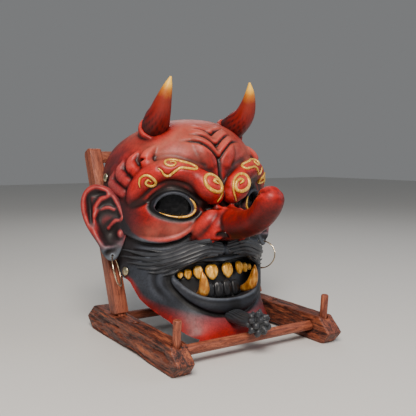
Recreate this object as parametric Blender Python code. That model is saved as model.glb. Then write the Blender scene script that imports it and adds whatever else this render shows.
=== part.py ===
"""Carved-look demon face mask resting on a pegged hardwood display stand.

Metres, +Z up, the face looks along -Y.  The mask is modelled upright in its own
frame and leaned back on the stand as one parent empty.
"""
import math

import bmesh
import bpy
import numpy as np
from mathutils import Matrix, Vector

MM = 0.001

# ---- stand, all in millimetres -------------------------------------------------
FOOT_CENTRE_X = 102.8      # middle of each foot from the plane of symmetry
FOOT_WIDTH = 23.0
FOOT_HEIGHT = 31.5
FOOT_LENGTH = 238.0
FOOT_NOSE_Z = 14.0         # height of the sharp front and rear edge of a foot
FOOT_CHAMFER = 18.0
POST_WIDTH = 16.0
POST_DEPTH = 20.0
POST_LEAN = 21.4           # degrees back from upright
POST_FOOT_Y = 160.0        # middle of the post where it leaves the foot
POST_TOP_Z = 232.0
POST_CORNER = 6.0
TENON_DEPTH = 14.0
TENON_SHOULDER = 3.0
RAIL_HEIGHT = 15.0
RAIL_DEPTH = 14.0
RAIL_SHOULDER = 2.0        # step from the rail to its tenon
DOWEL_RADIUS = 6.0
DOWEL_TENON = 10.0
FRONT_DOWEL_Y = 34.0
FRONT_DOWEL_Z = 18.0
REAR_DOWEL_Y = 192.0
REAR_DOWEL_Z = 18.0
PEG_RADIUS = 4.5
PEG_Y = 21.0
PEG_DEPTH = 8.0
PEG_HEIGHT = 26.0          # above the top of the foot
PEG_LEAN = 5.0             # degrees forward
SPARE_HOLE_Y = 116.0
FIT = 0.3                  # gap between pieces that touch
PEG_FIT = 0.25
HORN_FIT = 0.4

# ---- mask, in its own frame: x across, y back, z up the face ---------------------
MASK_LEAN = 15.0           # degrees back from upright
MASK_Y = 104.0
MASK_Z = 2.0
WALL = 4.0                 # thickness of the moulded shell
WIDEST_Y = 45.0
VOXEL = 2.2
SHELL_SHARE = 0.026        # share of the voxel faces that the decimation keeps

# height, half width, front, back, squareness
STATIONS = (
    (-9.0, 64.0, -40.0, 54.0, 3.0),
    (-4.0, 78.0, -48.5, 58.0, 3.0),
    (4.0, 83.0, -51.0, 60.0, 3.0),
    (14.0, 82.0, -50.0, 62.0, 2.8),
    (28.0, 84.0, -45.0, 65.0, 2.5),
    (43.0, 88.0, -43.0, 68.0, 2.2),
    (58.0, 93.0, -42.0, 76.0, 2.2),
    (82.0, 98.0, -42.0, 84.0, 2.2),
    (115.0, 99.0, -44.0, 90.0, 2.2),
    (145.0, 100.0, -52.0, 94.0, 2.2),
    (175.0, 101.0, -60.0, 97.0, 2.2),
    (205.0, 101.5, -64.0, 98.0, 2.2),
    (230.0, 97.0, -61.0, 98.0, 2.2),
    (252.0, 83.0, -50.0, 92.0, 2.2),
    (268.0, 62.0, -30.0, 80.0, 2.2),
    (277.0, 38.0, -4.0, 62.0, 2.2),
    (281.0, 10.0, 20.0, 42.0, 2.2),
)
# the free edge of the mask seen from the side: y, z
EDGE_LINE = (
    (-36.0, -14.0), (-44.0, 3.0), (-37.0, 9.0), (-26.0, 18.0), (-15.0, 28.0),
    (-1.0, 39.0), (8.0, 48.0), (15.0, 58.0), (18.5, 70.0), (21.5, 79.0),
    (26.0, 83.0), (34.0, 86.5), (40.0, 93.0), (42.8, 103.0), (51.8, 190.0), (57.0, 240.0),
    (61.0, 270.0), (64.0, 300.0),
)
EYE_LINE = (
    (-75, 161), (-72, 167), (-65, 171.5), (-56, 171.5), (-47, 167), (-40, 159),
    (-38.5, 152), (-42, 147.5), (-51, 145.5), (-61, 148), (-69, 152.5), (-73.5, 157),
)
MOUTH_LINE = (
    (-61, 78.5), (-55, 86.5), (-42, 91), (-24, 91), (0, 88.5), (24, 91), (42, 91),
    (55, 86.5), (61, 78.5), (55, 67), (44, 56), (31, 49), (15, 45.5), (0, 44.5),
    (-15, 45.5), (-31, 49), (-44, 56), (-55, 67),
)
# brow, seen from the middle outwards: x, inset, z, radius
BROW_LINE = (
    (14, -1, 167, 13.5), (21, -3, 175.5, 15.0), (34, 1, 188, 12.5), (48, 1, 197, 12.5),
    (64, 1, 201, 13.0), (79, 1, 196, 13.0), (88, 1, 184, 11.5), (92, 3, 175, 9.0),
)
CHEEK_LINE = (
    (101, 172), (99, 150), (96, 137), (91, 129), (84, 123), (75, 119.5), (66, 118),
    (52, 120), (40, 127), (32, 136), (24, 146),
)
CHEEK_STEP = 4.5
NOSE_LINE = (
    (-40, 132, 18), (-68, 129, 19), (-86, 126, 17), (-104, 124.5, 15.5),
    (-124, 127, 15), (-140, 135, 15.5), (-148, 142, 15.5),
)
WING_LINE = ((33, 2, 121, 6.5), (29, -4, 130, 9.0), (21, -8, 140, 11.0), (10, -8, 148, 9.0))
MOUSTACHE_LINE = (
    (5, -1, 103, 8.0), (24, -2, 106, 9.5), (44, -1, 101, 9.5), (62, -1, 98, 9.5),
    (78, -1, 101, 8.5), (90, 0, 108, 5.5),
)
LOWER_LIP_LINE = (
    (0, -2, 35.5, 9.0), (18, -2, 36.5, 9.0), (33, -2, 42, 8.0), (45, -1, 51, 6.5),
    (55, 0, 61, 5.0), (62, 0, 72, 4.0),
)
HORN_LINE = (
    (51.0, -3.0, 246.0, 12.5), (55.5, -17.0, 258.5, 16.5), (59.5, -33.0, 265.5, 15.8),
    (61.6, -47.0, 271.5, 13.0), (61.5, -58.3, 281.7, 9.8), (59.5, -68.0, 294.0, 5.8),
    (57.0, -73.6, 304.0, 1.6),
)
COLLAR_SWELL = (2.0, 4.0, 5.0, 4.0)
# soft swelling of the forehead either side of its middle: x, height, radius
FOREHEAD_LINE = ((14, 205, 9), (17, 222, 13), (20, 240, 14), (18, 254, 10))
FOREHEAD_INSET = 3.0
TUSK_LINE = (
    (32.0, -30.5, 53.0, 4.0), (33.0, -38.0, 54.0, 5.6), (34.5, -45.5, 58.0, 6.2),
    (36.0, -49.5, 65.0, 5.2), (37.2, -51.5, 72.0, 3.6), (38.0, -52.2, 78.0, 1.2),
)
# upper teeth of one side: x, front y, middle z, width, height, thickness
UPPER_TEETH = (
    (11.5, -34.0, 78.0, 15.0, 16.5, 5.0),
    (30.0, -33.0, 79.5, 10.5, 14.0, 5.5),
    (41.5, -28.0, 79.0, 8.5, 10.5, 4.5),
    (50.5, -24.5, 78.5, 6.0, 6.5, 4.0),
)
LOWER_TEETH_X = (-19.5, -6.5, 6.5, 19.5)
LOWER_TOOTH = (11.5, 15.0, 6.0)    # width, height, thickness
LOWER_TOOTH_Z = 54.0
LOWER_TOOTH_RISE = 3.0     # in front of the gum
GUM_GAP = 0.9              # behind the inside of the shell
GUM_THICKNESS = 14.0
GUM_HALF_WIDTH = 70.0
GUM_FLOOR = WALL + 10.0    # how far behind the face the teeth stand
GUM_SPLIT = 73.0
GUM_BOTTOM = 37.0
GUM_TOP = 99.0
LENS_GAP = 0.9
LENS_THICKNESS = 2.0
LENS_INNER = 31.0
LENS_OUTER = 84.0
LENS_LOW = 140.0
LENS_HIGH = 177.0
TUFT_LINE = (
    (-40.0, 27.0, 6.0), (-52.0, 23.0, 6.5), (-64.0, 20.0, 6.5), (-78.0, 17.5, 7.0),
    (-92.8, 12.5, 9.5),
)
KNOB_RADIUS = 11.0
CURL_RADIUS = 4.6
# balls on one side of the knob: degrees round from the front, degrees up
CURL_SPOTS = ((22, 8), (68, 22), (60, -28), (18, -48), (28, 58), (105, 0), (100, 55))
EAR_ROOT = (-98.0, 15.0, 150.0)
EAR_TURN = 33.75           # degrees between the ear's plane and straight out sideways
EAR_THICKNESS = 8.0
EAR_GAP = 2.0              # between the ear and the bare face round its tongue
EAR_TENON = ((-14.0, -6.0, -2.5), (9.0, 16.0, 2.5))    # its low and high corners
# ear outline in its own plane: outwards, up
EAR_LINE = (
    (2, 22), (6, 36), (15, 47), (27, 52), (38, 48), (46, 37), (48, 22), (45, 6),
    (39, -8), (32, -22), (28, -34), (22, -42), (14, -42), (8, -35), (4, -22), (1, -8),
)
EAR_HOLLOW = (
    (8, 16), (11, 31), (19, 40), (28, 43), (36, 38), (40, 26), (39, 12), (35, 0),
    (29, -11), (22, -18), (15, -16), (10, -6),
)
EAR_HOLLOW_DEPTH = 4.0
LOBE_HOLE = (16.5, -37.0)
LOBE_HOLE_RADIUS = 2.2
HOOP_DIAMETER = 37.0
HOOP_WIRE = 0.9
HOOP_TILT = 14.0           # degrees towards the jaw, where the ring rests
RIVET_CAP = 6.0
RIVET_SHANK = 2.0
UPPER_RIVET = (41.0, 213.0)
LOWER_RIVET = (25.0, 93.0)
STRAP_WIDTH = 20.0
STRAP_TAB = 6.0            # each side of the rivet
STRAP_BEND = 9.0
STRAP_GAP = 1.2
STRAP_THICKNESS = 1.6


# ---- materials --------------------------------------------------------------------
def makeMaterial(name, colour, roughness, metallic=0.0):
    """Plain Principled material."""
    mat = bpy.data.materials.new(name)
    mat.use_nodes = True
    shader = mat.node_tree.nodes["Principled BSDF"]
    shader.inputs["Base Color"].default_value = (*colour, 1.0)
    shader.inputs["Roughness"].default_value = roughness
    shader.inputs["Metallic"].default_value = metallic
    mat.diffuse_color = (*colour, 1.0)
    return mat


def newObject(name, mesh, mat, parent=None):
    """One named object in the scene with its material."""
    ob = bpy.data.objects.new(name, mesh)
    bpy.context.scene.collection.objects.link(ob)
    if mat is not None:
        mesh.materials.clear()
        mesh.materials.append(mat)
    ob.parent = parent
    return ob


def meshFrom(name, verts, faces):
    """Mesh in metres from millimetre vertices, outward normals."""
    mesh = bpy.data.meshes.new(name)
    mesh.from_pydata([tuple(float(c) * MM for c in v) for v in verts], [], faces)
    work = bmesh.new()
    work.from_mesh(mesh)
    bmesh.ops.remove_doubles(work, verts=work.verts, dist=1e-7)
    bmesh.ops.recalc_face_normals(work, faces=work.faces)
    work.to_mesh(mesh)
    work.free()
    return mesh


def applied(ob):
    """Mesh of an object with its modifiers worked in."""
    graph = bpy.context.evaluated_depsgraph_get()
    mesh = bpy.data.meshes.new_from_object(ob.evaluated_get(graph))
    return mesh


def bake(ob):
    """Work the modifiers into the object's own mesh."""
    mats = list(ob.data.materials)
    mesh = applied(ob)
    ob.modifiers.clear()
    ob.data = mesh
    mesh.materials.clear()
    for mat in mats:
        mesh.materials.append(mat)
    return ob


def discard(ob):
    bpy.data.objects.remove(ob, do_unlink=True)


def boolean(ob, tool, operation="DIFFERENCE", keep=False):
    """Exact Boolean of two objects, worked in at once."""
    mod = ob.modifiers.new("cut", "BOOLEAN")
    mod.operation = operation
    mod.solver = "EXACT"
    mod.object = tool
    bpy.context.view_layer.update()
    bake(ob)
    if not keep:
        discard(tool)
    return ob


# ---- shapes -----------------------------------------------------------------------
def prism(name, outline, low, high, axis):
    """Closed outline in two axes swept along the third; axis is the swept one."""
    order = {"X": (2, 0, 1), "Y": (0, 2, 1), "Z": (0, 1, 2)}[axis]
    verts = []
    for level in (low, high):
        for a, b in outline:
            source = (a, b, level)
            verts.append(tuple(source[k] for k in order))
    count = len(outline)
    faces = [list(range(count)), list(range(2 * count - 1, count - 1, -1))]
    for k in range(count):
        n = (k + 1) % count
        faces.append([k, n, count + n, count + k])
    return meshFrom(name, verts, faces)


def tubeMesh(name, path, radii, sides, squash=1.0, round_ends=True):
    """Solid tube through the points of a path with a radius at each."""
    path = [Vector(p) for p in path]
    rings = []
    up = Vector((0.0, 0.0, 1.0))
    for k, point in enumerate(path):
        ahead = path[min(k + 1, len(path) - 1)] - path[max(k - 1, 0)]
        ahead.normalize()
        side = ahead.cross(up)
        if side.length < 0.1:
            side = ahead.cross(Vector((1.0, 0.0, 0.0)))
        side.normalize()
        lift = side.cross(ahead)
        rings.append((point, side, lift, ahead, radii[k]))
    if round_ends:
        point, side, lift, ahead, r = rings[0]
        start = [(point - ahead * r * math.cos(t), side, lift, ahead, r * math.sin(t))
                 for t in (0.35, 0.8, 1.2)]
        point, side, lift, ahead, r = rings[-1]
        finish = [(point + ahead * r * math.cos(t), side, lift, ahead, r * math.sin(t))
                  for t in (1.2, 0.8, 0.35)]
        rings = start + rings + finish
    verts = []
    for point, side, lift, ahead, r in rings:
        for k in range(sides):
            turn = 2.0 * math.pi * k / sides
            verts.append(point + side * r * math.cos(turn) + lift * r * squash * math.sin(turn))
    faces = [list(range(sides))]
    for row in range(len(rings) - 1):
        for k in range(sides):
            n = (k + 1) % sides
            a = row * sides
            faces.append([a + k, a + n, a + sides + n, a + sides + k])
    last = (len(rings) - 1) * sides
    faces.append([last + k for k in range(sides)])
    return meshFrom(name, verts, faces)


def smoothPath(points, steps):
    """Catmull-Rom points through rows of numbers."""
    pts = np.array(points, float)
    padded = np.vstack([2 * pts[0] - pts[1], pts, 2 * pts[-1] - pts[-2]])
    out = []
    for k in range(len(pts) - 1):
        a, b, c, d = padded[k:k + 4]
        for s in range(steps):
            t = s / steps
            out.append(0.5 * (2 * b + (c - a) * t + (2 * a - 5 * b + 4 * c - d) * t * t
                              + (3 * b - a - 3 * c + d) * t ** 3))
    out.append(pts[-1])
    return np.array(out)


def cylinderMesh(name, start, finish, radius, sides):
    return tubeMesh(name, [start, finish], [radius, radius], sides, round_ends=False)


def boxMesh(name, low, high):
    outline = [(low[0], low[1]), (high[0], low[1]), (high[0], high[1]), (low[0], high[1])]
    return prism(name, outline, low[2], high[2], "Z")


# ---- the form of the face -----------------------------------------------------------
def stationAt(height):
    """Half width, front, back and squareness of the head at one height."""
    table = np.array(STATIONS)
    rows = smoothPath(table, 8)
    return [np.interp(height, rows[:, 0], rows[:, k]) for k in range(1, 5)]


def faceY(x, height):
    """Depth of the bare face at x and height."""
    width, front, _, power = stationAt(height)
    share = np.clip(np.abs(x) / width, 0.0, 0.995)
    return WIDEST_Y - (WIDEST_Y - front) * (1.0 - share ** power) ** (1.0 / power)


def facePoint(x, height, inset=0.0):
    """Point on the face moved inwards along its normal."""
    step = 0.6
    slopeX = (faceY(x + step, height) - faceY(x - step, height)) / (2 * step)
    slopeZ = (faceY(x, height + step) - faceY(x, height - step)) / (2 * step)
    normal = np.array([slopeX, -1.0, slopeZ])
    normal /= np.linalg.norm(normal)
    return np.array([x, faceY(x, height), height]) - normal * inset


def cheekLift(x, height):
    """Extra thickness of the cheek plate above its overhanging edge."""
    line = np.array(CHEEK_LINE)
    across = abs(x)
    if across < line[-1, 0] - 4.0 or height > 205.0:
        return 0.0
    edge = np.interp(across, line[::-1, 0], line[::-1, 1])
    rise = np.clip((height - edge) / 2.0 + 0.5, 0.0, 1.0)
    fade = np.clip((205.0 - height) / 60.0, 0.0, 1.0)
    inner = np.clip((across - line[-1, 0] + 4.0) / 10.0, 0.0, 1.0)
    return CHEEK_STEP * rise * fade * inner


def headGrid(inset, around, rows, relief):
    """Rings of points round the whole head form."""
    low = STATIONS[0][0]
    high = STATIONS[-1][0]
    levels = np.linspace(low, high, rows)
    grid = np.zeros((rows, around, 3))
    for i, level in enumerate(levels):
        width, front, back, power = stationAt(level)
        for k in range(around):
            turn = 2.0 * math.pi * k / around
            s = math.sin(turn)
            c = math.cos(turn)
            e = 2.0 / power
            x = width * math.copysign(abs(s) ** e, s)
            reach = (WIDEST_Y - front) if c > 0 else (back - WIDEST_Y)
            grid[i, k] = (x, WIDEST_Y - math.copysign(reach * abs(c) ** e, c), level)
    along = np.gradient(grid, axis=0)
    roundways = (np.roll(grid, -1, axis=1) - np.roll(grid, 1, axis=1)) / 2.0
    normal = np.cross(roundways, along)
    normal /= np.maximum(np.linalg.norm(normal, axis=2, keepdims=True), 1e-9)
    outward = grid - np.array([0.0, WIDEST_Y, 0.0])
    if np.sum(normal[rows // 2] * outward[rows // 2]) < 0:
        normal = -normal
    lift = np.full((rows, around), -inset)
    if relief:
        for i in range(rows):
            for k in range(around):
                x, y, z = grid[i, k]
                if y < WIDEST_Y:
                    lift[i, k] += cheekLift(x, z)
    return grid + normal * lift[:, :, None]


def headMesh(name, inset, around, rows, relief=False):
    """Closed egg of the whole head form, the mask being its front."""
    grid = headGrid(inset, around, rows, relief)
    rows, around, _ = grid.shape
    verts = [tuple(p) for p in grid.reshape(-1, 3)]
    faces = []
    for i in range(rows - 1):
        for k in range(around):
            n = (k + 1) % around
            a = i * around
            faces.append([a + k, a + n, a + around + n, a + around + k])
    for row, flip in ((0, True), (rows - 1, False)):
        centre = grid[row].mean(axis=0)
        verts.append(tuple(centre))
        hub = len(verts) - 1
        for k in range(around):
            n = (k + 1) % around
            face = [row * around + k, row * around + n, hub]
            faces.append(face[::-1] if flip else face)
    return meshFrom(name, verts, faces)


def patchMesh(name, lowX, highX, lowZ, highZ, inset, thickness, nx, nz):
    """Curved plate that follows the face between two insets."""
    front = []
    back = []
    for height in np.linspace(lowZ, highZ, nz):
        for x in np.linspace(lowX, highX, nx):
            front.append(facePoint(x, height, inset))
            back.append(facePoint(x, height, inset + thickness))
    count = nx * nz
    faces = []
    for i in range(nz - 1):
        for k in range(nx - 1):
            a = i * nx + k
            faces.append([a, a + 1, a + nx + 1, a + nx])
            faces.append([count + a, count + a + nx, count + a + nx + 1, count + a + 1])
    rim = [k for k in range(nx)]
    rim += [(i + 1) * nx - 1 for i in range(1, nz)]
    rim += [(nz - 1) * nx + k for k in range(nx - 2, -1, -1)]
    rim += [i * nx for i in range(nz - 2, 0, -1)]
    for k, a in enumerate(rim):
        b = rim[(k + 1) % len(rim)]
        faces.append([a, b, count + b, count + a])
    return meshFrom(name, front + back, faces)


def featureTube(name, line, side, sides=14, steps=4):
    """Raised form on one side of the face, given as x, inset, height and radius."""
    rows = smoothPath(line, steps)
    path = []
    radii = []
    for x, inset, height, radius in rows:
        point = facePoint(x * side, height, inset)
        path.append(tuple(point))
        radii.append(radius)
    return tubeMesh(name, path, radii, sides)


def join(objects, name, mat):
    """One object holding the meshes of several."""
    work = bmesh.new()
    for ob in objects:
        work.from_mesh(ob.data)
        discard(ob)
    mesh = bpy.data.meshes.new(name)
    work.to_mesh(mesh)
    work.free()
    return newObject(name, mesh, mat)


def skinOver(ob, voxel, smooth, share):
    """Turn overlapping closed forms into one even skin."""
    remesh = ob.modifiers.new("skin", "REMESH")
    remesh.mode = "VOXEL"
    remesh.voxel_size = voxel * MM
    relax = ob.modifiers.new("relax", "SMOOTH")
    relax.factor = 0.5
    relax.iterations = smooth
    fewer = ob.modifiers.new("fewer", "DECIMATE")
    fewer.ratio = share
    bpy.context.view_layer.update()
    return bake(ob)


# ---- the stand ----------------------------------------------------------------------
def postMiddle(height):
    """Depth of the post's centre line at one height."""
    rise = height - FOOT_HEIGHT
    return POST_FOOT_Y + rise * math.tan(math.radians(POST_LEAN))


def footOutline():
    top = FOOT_HEIGHT
    rear = FOOT_LENGTH
    return [(12, 0), (58, 0), (94, 4.6), (132, 2.5), (195, 0), (rear - 16, 0),
            (rear, FOOT_NOSE_Z), (rear - FOOT_CHAMFER - 3, top), (FOOT_CHAMFER, top),
            (0, FOOT_NOSE_Z)]


def leanedBox(name, halfX, halfDepth, lowZ, highZ, corner=0.0):
    """Box along the post's axis, stated by heights at its middle."""
    lean = math.radians(POST_LEAN)
    lowS = (lowZ - FOOT_HEIGHT) / math.cos(lean)
    highS = (highZ - FOOT_HEIGHT) / math.cos(lean)
    outline = [(-halfDepth, lowS), (halfDepth, lowS), (halfDepth, highS), (-halfDepth, highS)]
    if corner:
        outline = outline[:2]
        for centre, start in ((halfDepth - corner, 0), (-halfDepth + corner, 90)):
            for k in range(5):
                turn = math.radians(start + 22.5 * k)
                outline.append((centre + corner * math.cos(turn),
                                highS - corner + corner * math.sin(turn)))
    mesh = prism(name, outline, -halfX, halfX, "X")
    turn = Matrix.Translation(Vector((0.0, POST_FOOT_Y * MM, FOOT_HEIGHT * MM)))
    mesh.transform(turn @ Matrix.Rotation(-lean, 4, "X"))
    return mesh


def buildStand(root, wood, bark):
    pegLean = math.radians(PEG_LEAN)
    mouth = Vector((0.0, PEG_Y, FOOT_HEIGHT))
    pegWay = Vector((0.0, -math.sin(pegLean), math.cos(pegLean)))
    railZ = POST_TOP_Z - RAIL_HEIGHT / 2.0 - RAIL_SHOULDER
    for side, label in ((-1, "right"), (1, "left")):
        middle = FOOT_CENTRE_X * side
        foot = newObject("foot_" + label, prism("foot", footOutline(), middle - FOOT_WIDTH / 2,
                                                middle + FOOT_WIDTH / 2, "X"), bark, root)
        edge = foot.modifiers.new("edges", "BEVEL")
        edge.width = 1.2 * MM
        edge.segments = 2
        edge.limit_method = "ANGLE"
        bpy.context.view_layer.update()
        bake(foot)
        mortise = leanedBox("mortise", POST_WIDTH / 2 - TENON_SHOULDER + FIT,
                            POST_DEPTH / 2 - TENON_SHOULDER + FIT,
                            FOOT_HEIGHT - TENON_DEPTH - FIT, FOOT_HEIGHT + 12.0)
        mortise.transform(Matrix.Translation((middle * MM, 0.0, 0.0)))
        boolean(foot, newObject("tool", mortise, None))
        inner = middle - side * FOOT_WIDTH / 2
        for y, z in ((FRONT_DOWEL_Y, FRONT_DOWEL_Z), (REAR_DOWEL_Y, REAR_DOWEL_Z)):
            start = (inner - side * 5.0, y, z)
            finish = (inner + side * (DOWEL_TENON + FIT), y, z)
            hole = cylinderMesh("hole", start, finish, DOWEL_RADIUS + FIT, 24)
            boolean(foot, newObject("tool", hole, None))
        start = mouth + pegWay * 6.0 + Vector((middle, 0, 0))
        finish = mouth - pegWay * (PEG_DEPTH + FIT) + Vector((middle, 0, 0))
        hole = cylinderMesh("hole", start, finish, PEG_RADIUS + PEG_FIT, 24)
        boolean(foot, newObject("tool", hole, None))
        hole = cylinderMesh("hole", (middle, SPARE_HOLE_Y, FOOT_HEIGHT + 5.0),
                            (middle, SPARE_HOLE_Y, FOOT_HEIGHT - PEG_DEPTH), PEG_RADIUS, 24)
        boolean(foot, newObject("tool", hole, None))

        shaft = leanedBox("post", POST_WIDTH / 2, POST_DEPTH / 2, FOOT_HEIGHT, POST_TOP_Z,
                          POST_CORNER)
        post = newObject("post_" + label, shaft, wood, root)
        # the shoulder is level with the foot: trim everything below its top
        floor = boxMesh("floor", (-60, 0, -60), (60, 300, FOOT_HEIGHT + FIT))
        boolean(post, newObject("tool", floor, None))
        tenon = leanedBox("tenon", POST_WIDTH / 2 - TENON_SHOULDER,
                          POST_DEPTH / 2 - TENON_SHOULDER,
                          FOOT_HEIGHT - TENON_DEPTH, FOOT_HEIGHT + 20.0)
        boolean(post, newObject("tool", tenon, None), "UNION")
        low = (-side * POST_WIDTH, postMiddle(railZ) - RAIL_DEPTH / 2 + RAIL_SHOULDER - FIT,
               railZ - RAIL_HEIGHT / 2 + RAIL_SHOULDER - FIT)
        high = (side * RAIL_SHOULDER, postMiddle(railZ) + RAIL_DEPTH / 2 - RAIL_SHOULDER + FIT,
                railZ + RAIL_HEIGHT / 2 - RAIL_SHOULDER + FIT)
        slot = boxMesh("slot", [min(a, b) for a, b in zip(low, high)],
                       [max(a, b) for a, b in zip(low, high)])
        boolean(post, newObject("tool", slot, None))
        post.data.transform(Matrix.Translation((middle * MM, 0.0, 0.0)))

        peg = tubeMesh("peg", [(0, 0, -PEG_DEPTH), (0, 0, PEG_HEIGHT - 1.0), (0, 0, PEG_HEIGHT)],
                       [PEG_RADIUS, PEG_RADIUS, PEG_RADIUS - 0.9], 24, round_ends=False)
        pin = newObject("peg_" + label, peg, wood, root)
        pin.location = (middle * MM, PEG_Y * MM, FOOT_HEIGHT * MM)
        pin.data.transform(Matrix.Rotation(pegLean, 4, "X"))

    span = FOOT_CENTRE_X - POST_WIDTH / 2 - FIT
    rail = newObject("top_rail", boxMesh(
        "rail", (-span, postMiddle(railZ) - RAIL_DEPTH / 2, railZ - RAIL_HEIGHT / 2),
        (span, postMiddle(railZ) + RAIL_DEPTH / 2, railZ + RAIL_HEIGHT / 2)), wood, root)
    tongue = FOOT_CENTRE_X + RAIL_SHOULDER - FIT
    tenon = boxMesh("tenon",
                    (-tongue, postMiddle(railZ) - RAIL_DEPTH / 2 + RAIL_SHOULDER,
                     railZ - RAIL_HEIGHT / 2 + RAIL_SHOULDER),
                    (tongue, postMiddle(railZ) + RAIL_DEPTH / 2 - RAIL_SHOULDER,
                     railZ + RAIL_HEIGHT / 2 - RAIL_SHOULDER))
    boolean(rail, newObject("tool", tenon, None), "UNION")

    reach = FOOT_CENTRE_X - FOOT_WIDTH / 2 + DOWEL_TENON
    for name, y, z in (("front_dowel", FRONT_DOWEL_Y, FRONT_DOWEL_Z),
                       ("rear_dowel", REAR_DOWEL_Y, REAR_DOWEL_Z)):
        mesh = cylinderMesh(name, (-reach, y, z), (reach, y, z), DOWEL_RADIUS, 24)
        newObject(name, mesh, wood, root)


# ---- the mask -----------------------------------------------------------------------
def hornRows():
    return smoothPath(HORN_LINE, 3)


def hornMesh(name, side, extra):
    rows = hornRows()
    path = [Vector((x * side, y, z)) for x, y, z, _ in rows]
    path[0] += (path[0] - path[1]).normalized() * 2.0 * extra
    radii = [r + extra for _, _, _, r in rows]
    return tubeMesh(name, path, radii, 16, round_ends=False)


def tuskMesh(name, side, extra):
    rows = smoothPath(TUSK_LINE, 2)
    path = [Vector((x * side, y, z)) for x, y, z, _ in rows]
    path[0] += (path[0] - path[1]).normalized() * 3.0 * extra
    radii = [r + extra for _, _, _, r in rows]
    return tubeMesh(name, path, radii, 10, round_ends=False)


def tuftMesh(name, extra, finish=None):
    rows = smoothPath(TUFT_LINE, 4)[:finish]
    path = [Vector((0.0, y, z)) for y, z, _ in rows]
    path[0] += (path[0] - path[1]).normalized() * 2.0 * extra
    radii = [r + extra for _, _, r in rows]
    return tubeMesh(name, path, radii, 16, squash=0.75, round_ends=False)


def outlinePrism(name, outline, lowY, highY):
    """Outline in x and z swept front to back."""
    return prism(name, outline, lowY, highY, "Y")


def eyeCutter(side):
    """Prism through the eye, along the slanting normal of the face there."""
    centre = facePoint(-56.0, 159.0)
    way = facePoint(-56.0, 159.0, -1.0) - centre
    verts = []
    for reach in (30.0, -30.0):
        for x, z in EYE_LINE:
            point = facePoint(x, z)
            moved = point + way * (reach - float(np.dot(point - centre, way)))
            verts.append((moved[0] * -side, moved[1], moved[2]))
    count = len(EYE_LINE)
    faces = [list(range(count)), list(range(2 * count - 1, count - 1, -1))]
    for k in range(count):
        n = (k + 1) % count
        faces.append([k, n, count + n, count + k])
    return meshFrom("eye", verts, faces)


def earFrame(side):
    """Matrix from the ear's own plane to the mask; x outwards, y up, z towards the front."""
    turn = math.radians(EAR_TURN)
    outward = Vector((side * math.cos(turn), math.sin(turn), 0.0))
    upward = Vector((0.0, 0.0, 1.0))
    front = outward.cross(upward)
    if front.y > 0:
        front = -front
    origin = Vector((EAR_ROOT[0] * -side, EAR_ROOT[1], EAR_ROOT[2])) * MM
    rows = [[outward[k], upward[k], front[k], origin[k]] for k in range(3)]
    rows.append([0.0, 0.0, 0.0, 1.0])
    return Matrix(rows)


def sideSurface(y, height):
    """Half width of the head at a depth behind the face."""
    width, front, back, power = stationAt(height)
    reach = (WIDEST_Y - front) if y < WIDEST_Y else (back - WIDEST_Y)
    share = min(abs(WIDEST_Y - y) / reach, 0.999)
    return width * (1.0 - share ** power) ** (1.0 / power)


def placeOn(mesh, matrix):
    mesh.transform(matrix)
    work = bmesh.new()
    work.from_mesh(mesh)
    bmesh.ops.recalc_face_normals(work, faces=work.faces)
    work.to_mesh(mesh)
    work.free()
    return mesh


def earMesh(side):
    outline = smoothPath(EAR_LINE + EAR_LINE[:1], 2)[:-1]
    plate = placeOn(prism("ear", [tuple(p) for p in outline], -EAR_THICKNESS / 2,
                          EAR_THICKNESS / 2, "Z"), earFrame(side))
    hollow = smoothPath(EAR_HOLLOW + EAR_HOLLOW[:1], 2)[:-1]
    bowl = placeOn(prism("bowl", [tuple(p) for p in hollow],
                         EAR_THICKNESS / 2 - EAR_HOLLOW_DEPTH, EAR_THICKNESS, "Z"),
                   earFrame(side))
    hole = placeOn(cylinderMesh("hole", (*LOBE_HOLE, -20), (*LOBE_HOLE, 20),
                                LOBE_HOLE_RADIUS, 16), earFrame(side))
    return plate, bowl, hole


def earTenon(side, extra):
    """Tongue that plugs the ear into a slot of the shell."""
    low, high = EAR_TENON
    return placeOn(boxMesh("tenon", [c - extra for c in low], [c + extra for c in high]),
                   earFrame(side))


def rivetMesh(side, y, height, shankExtra=None):
    """Domed cap, shank and inner head, turned about an axis across the shell."""
    surface = sideSurface(y, height)
    step = 1.0
    slopeY = (sideSurface(y + step, height) - sideSurface(y - step, height)) / (2 * step)
    slopeZ = (sideSurface(y, height + step) - sideSurface(y, height - step)) / (2 * step)
    way = Vector((1.0, -slopeY, -slopeZ)).normalized()
    base = Vector((surface, y, height))
    if shankExtra is not None:
        path = [base - way * 14.0, base + way * 6.0]
        radii = [RIVET_SHANK + shankExtra] * 2
    else:
        inside = WALL + 2 * STRAP_GAP + STRAP_THICKNESS
        profile = [(-inside - 1.2, 4.0), (-inside - 0.01, 4.4), (-inside, RIVET_SHANK),
                   (FIT + 0.55, RIVET_SHANK), (FIT + 0.56, RIVET_CAP), (1.9, RIVET_CAP - 0.4),
                   (3.0, RIVET_CAP - 1.8), (3.6, RIVET_CAP - 4.0)]
        path = [base + way * d for d, _ in profile]
        radii = [r for _, r in profile]
    path = [(p.x * side, p.y, p.z) for p in path]
    return tubeMesh("rivet", path, radii, 12, round_ends=False)


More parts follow.
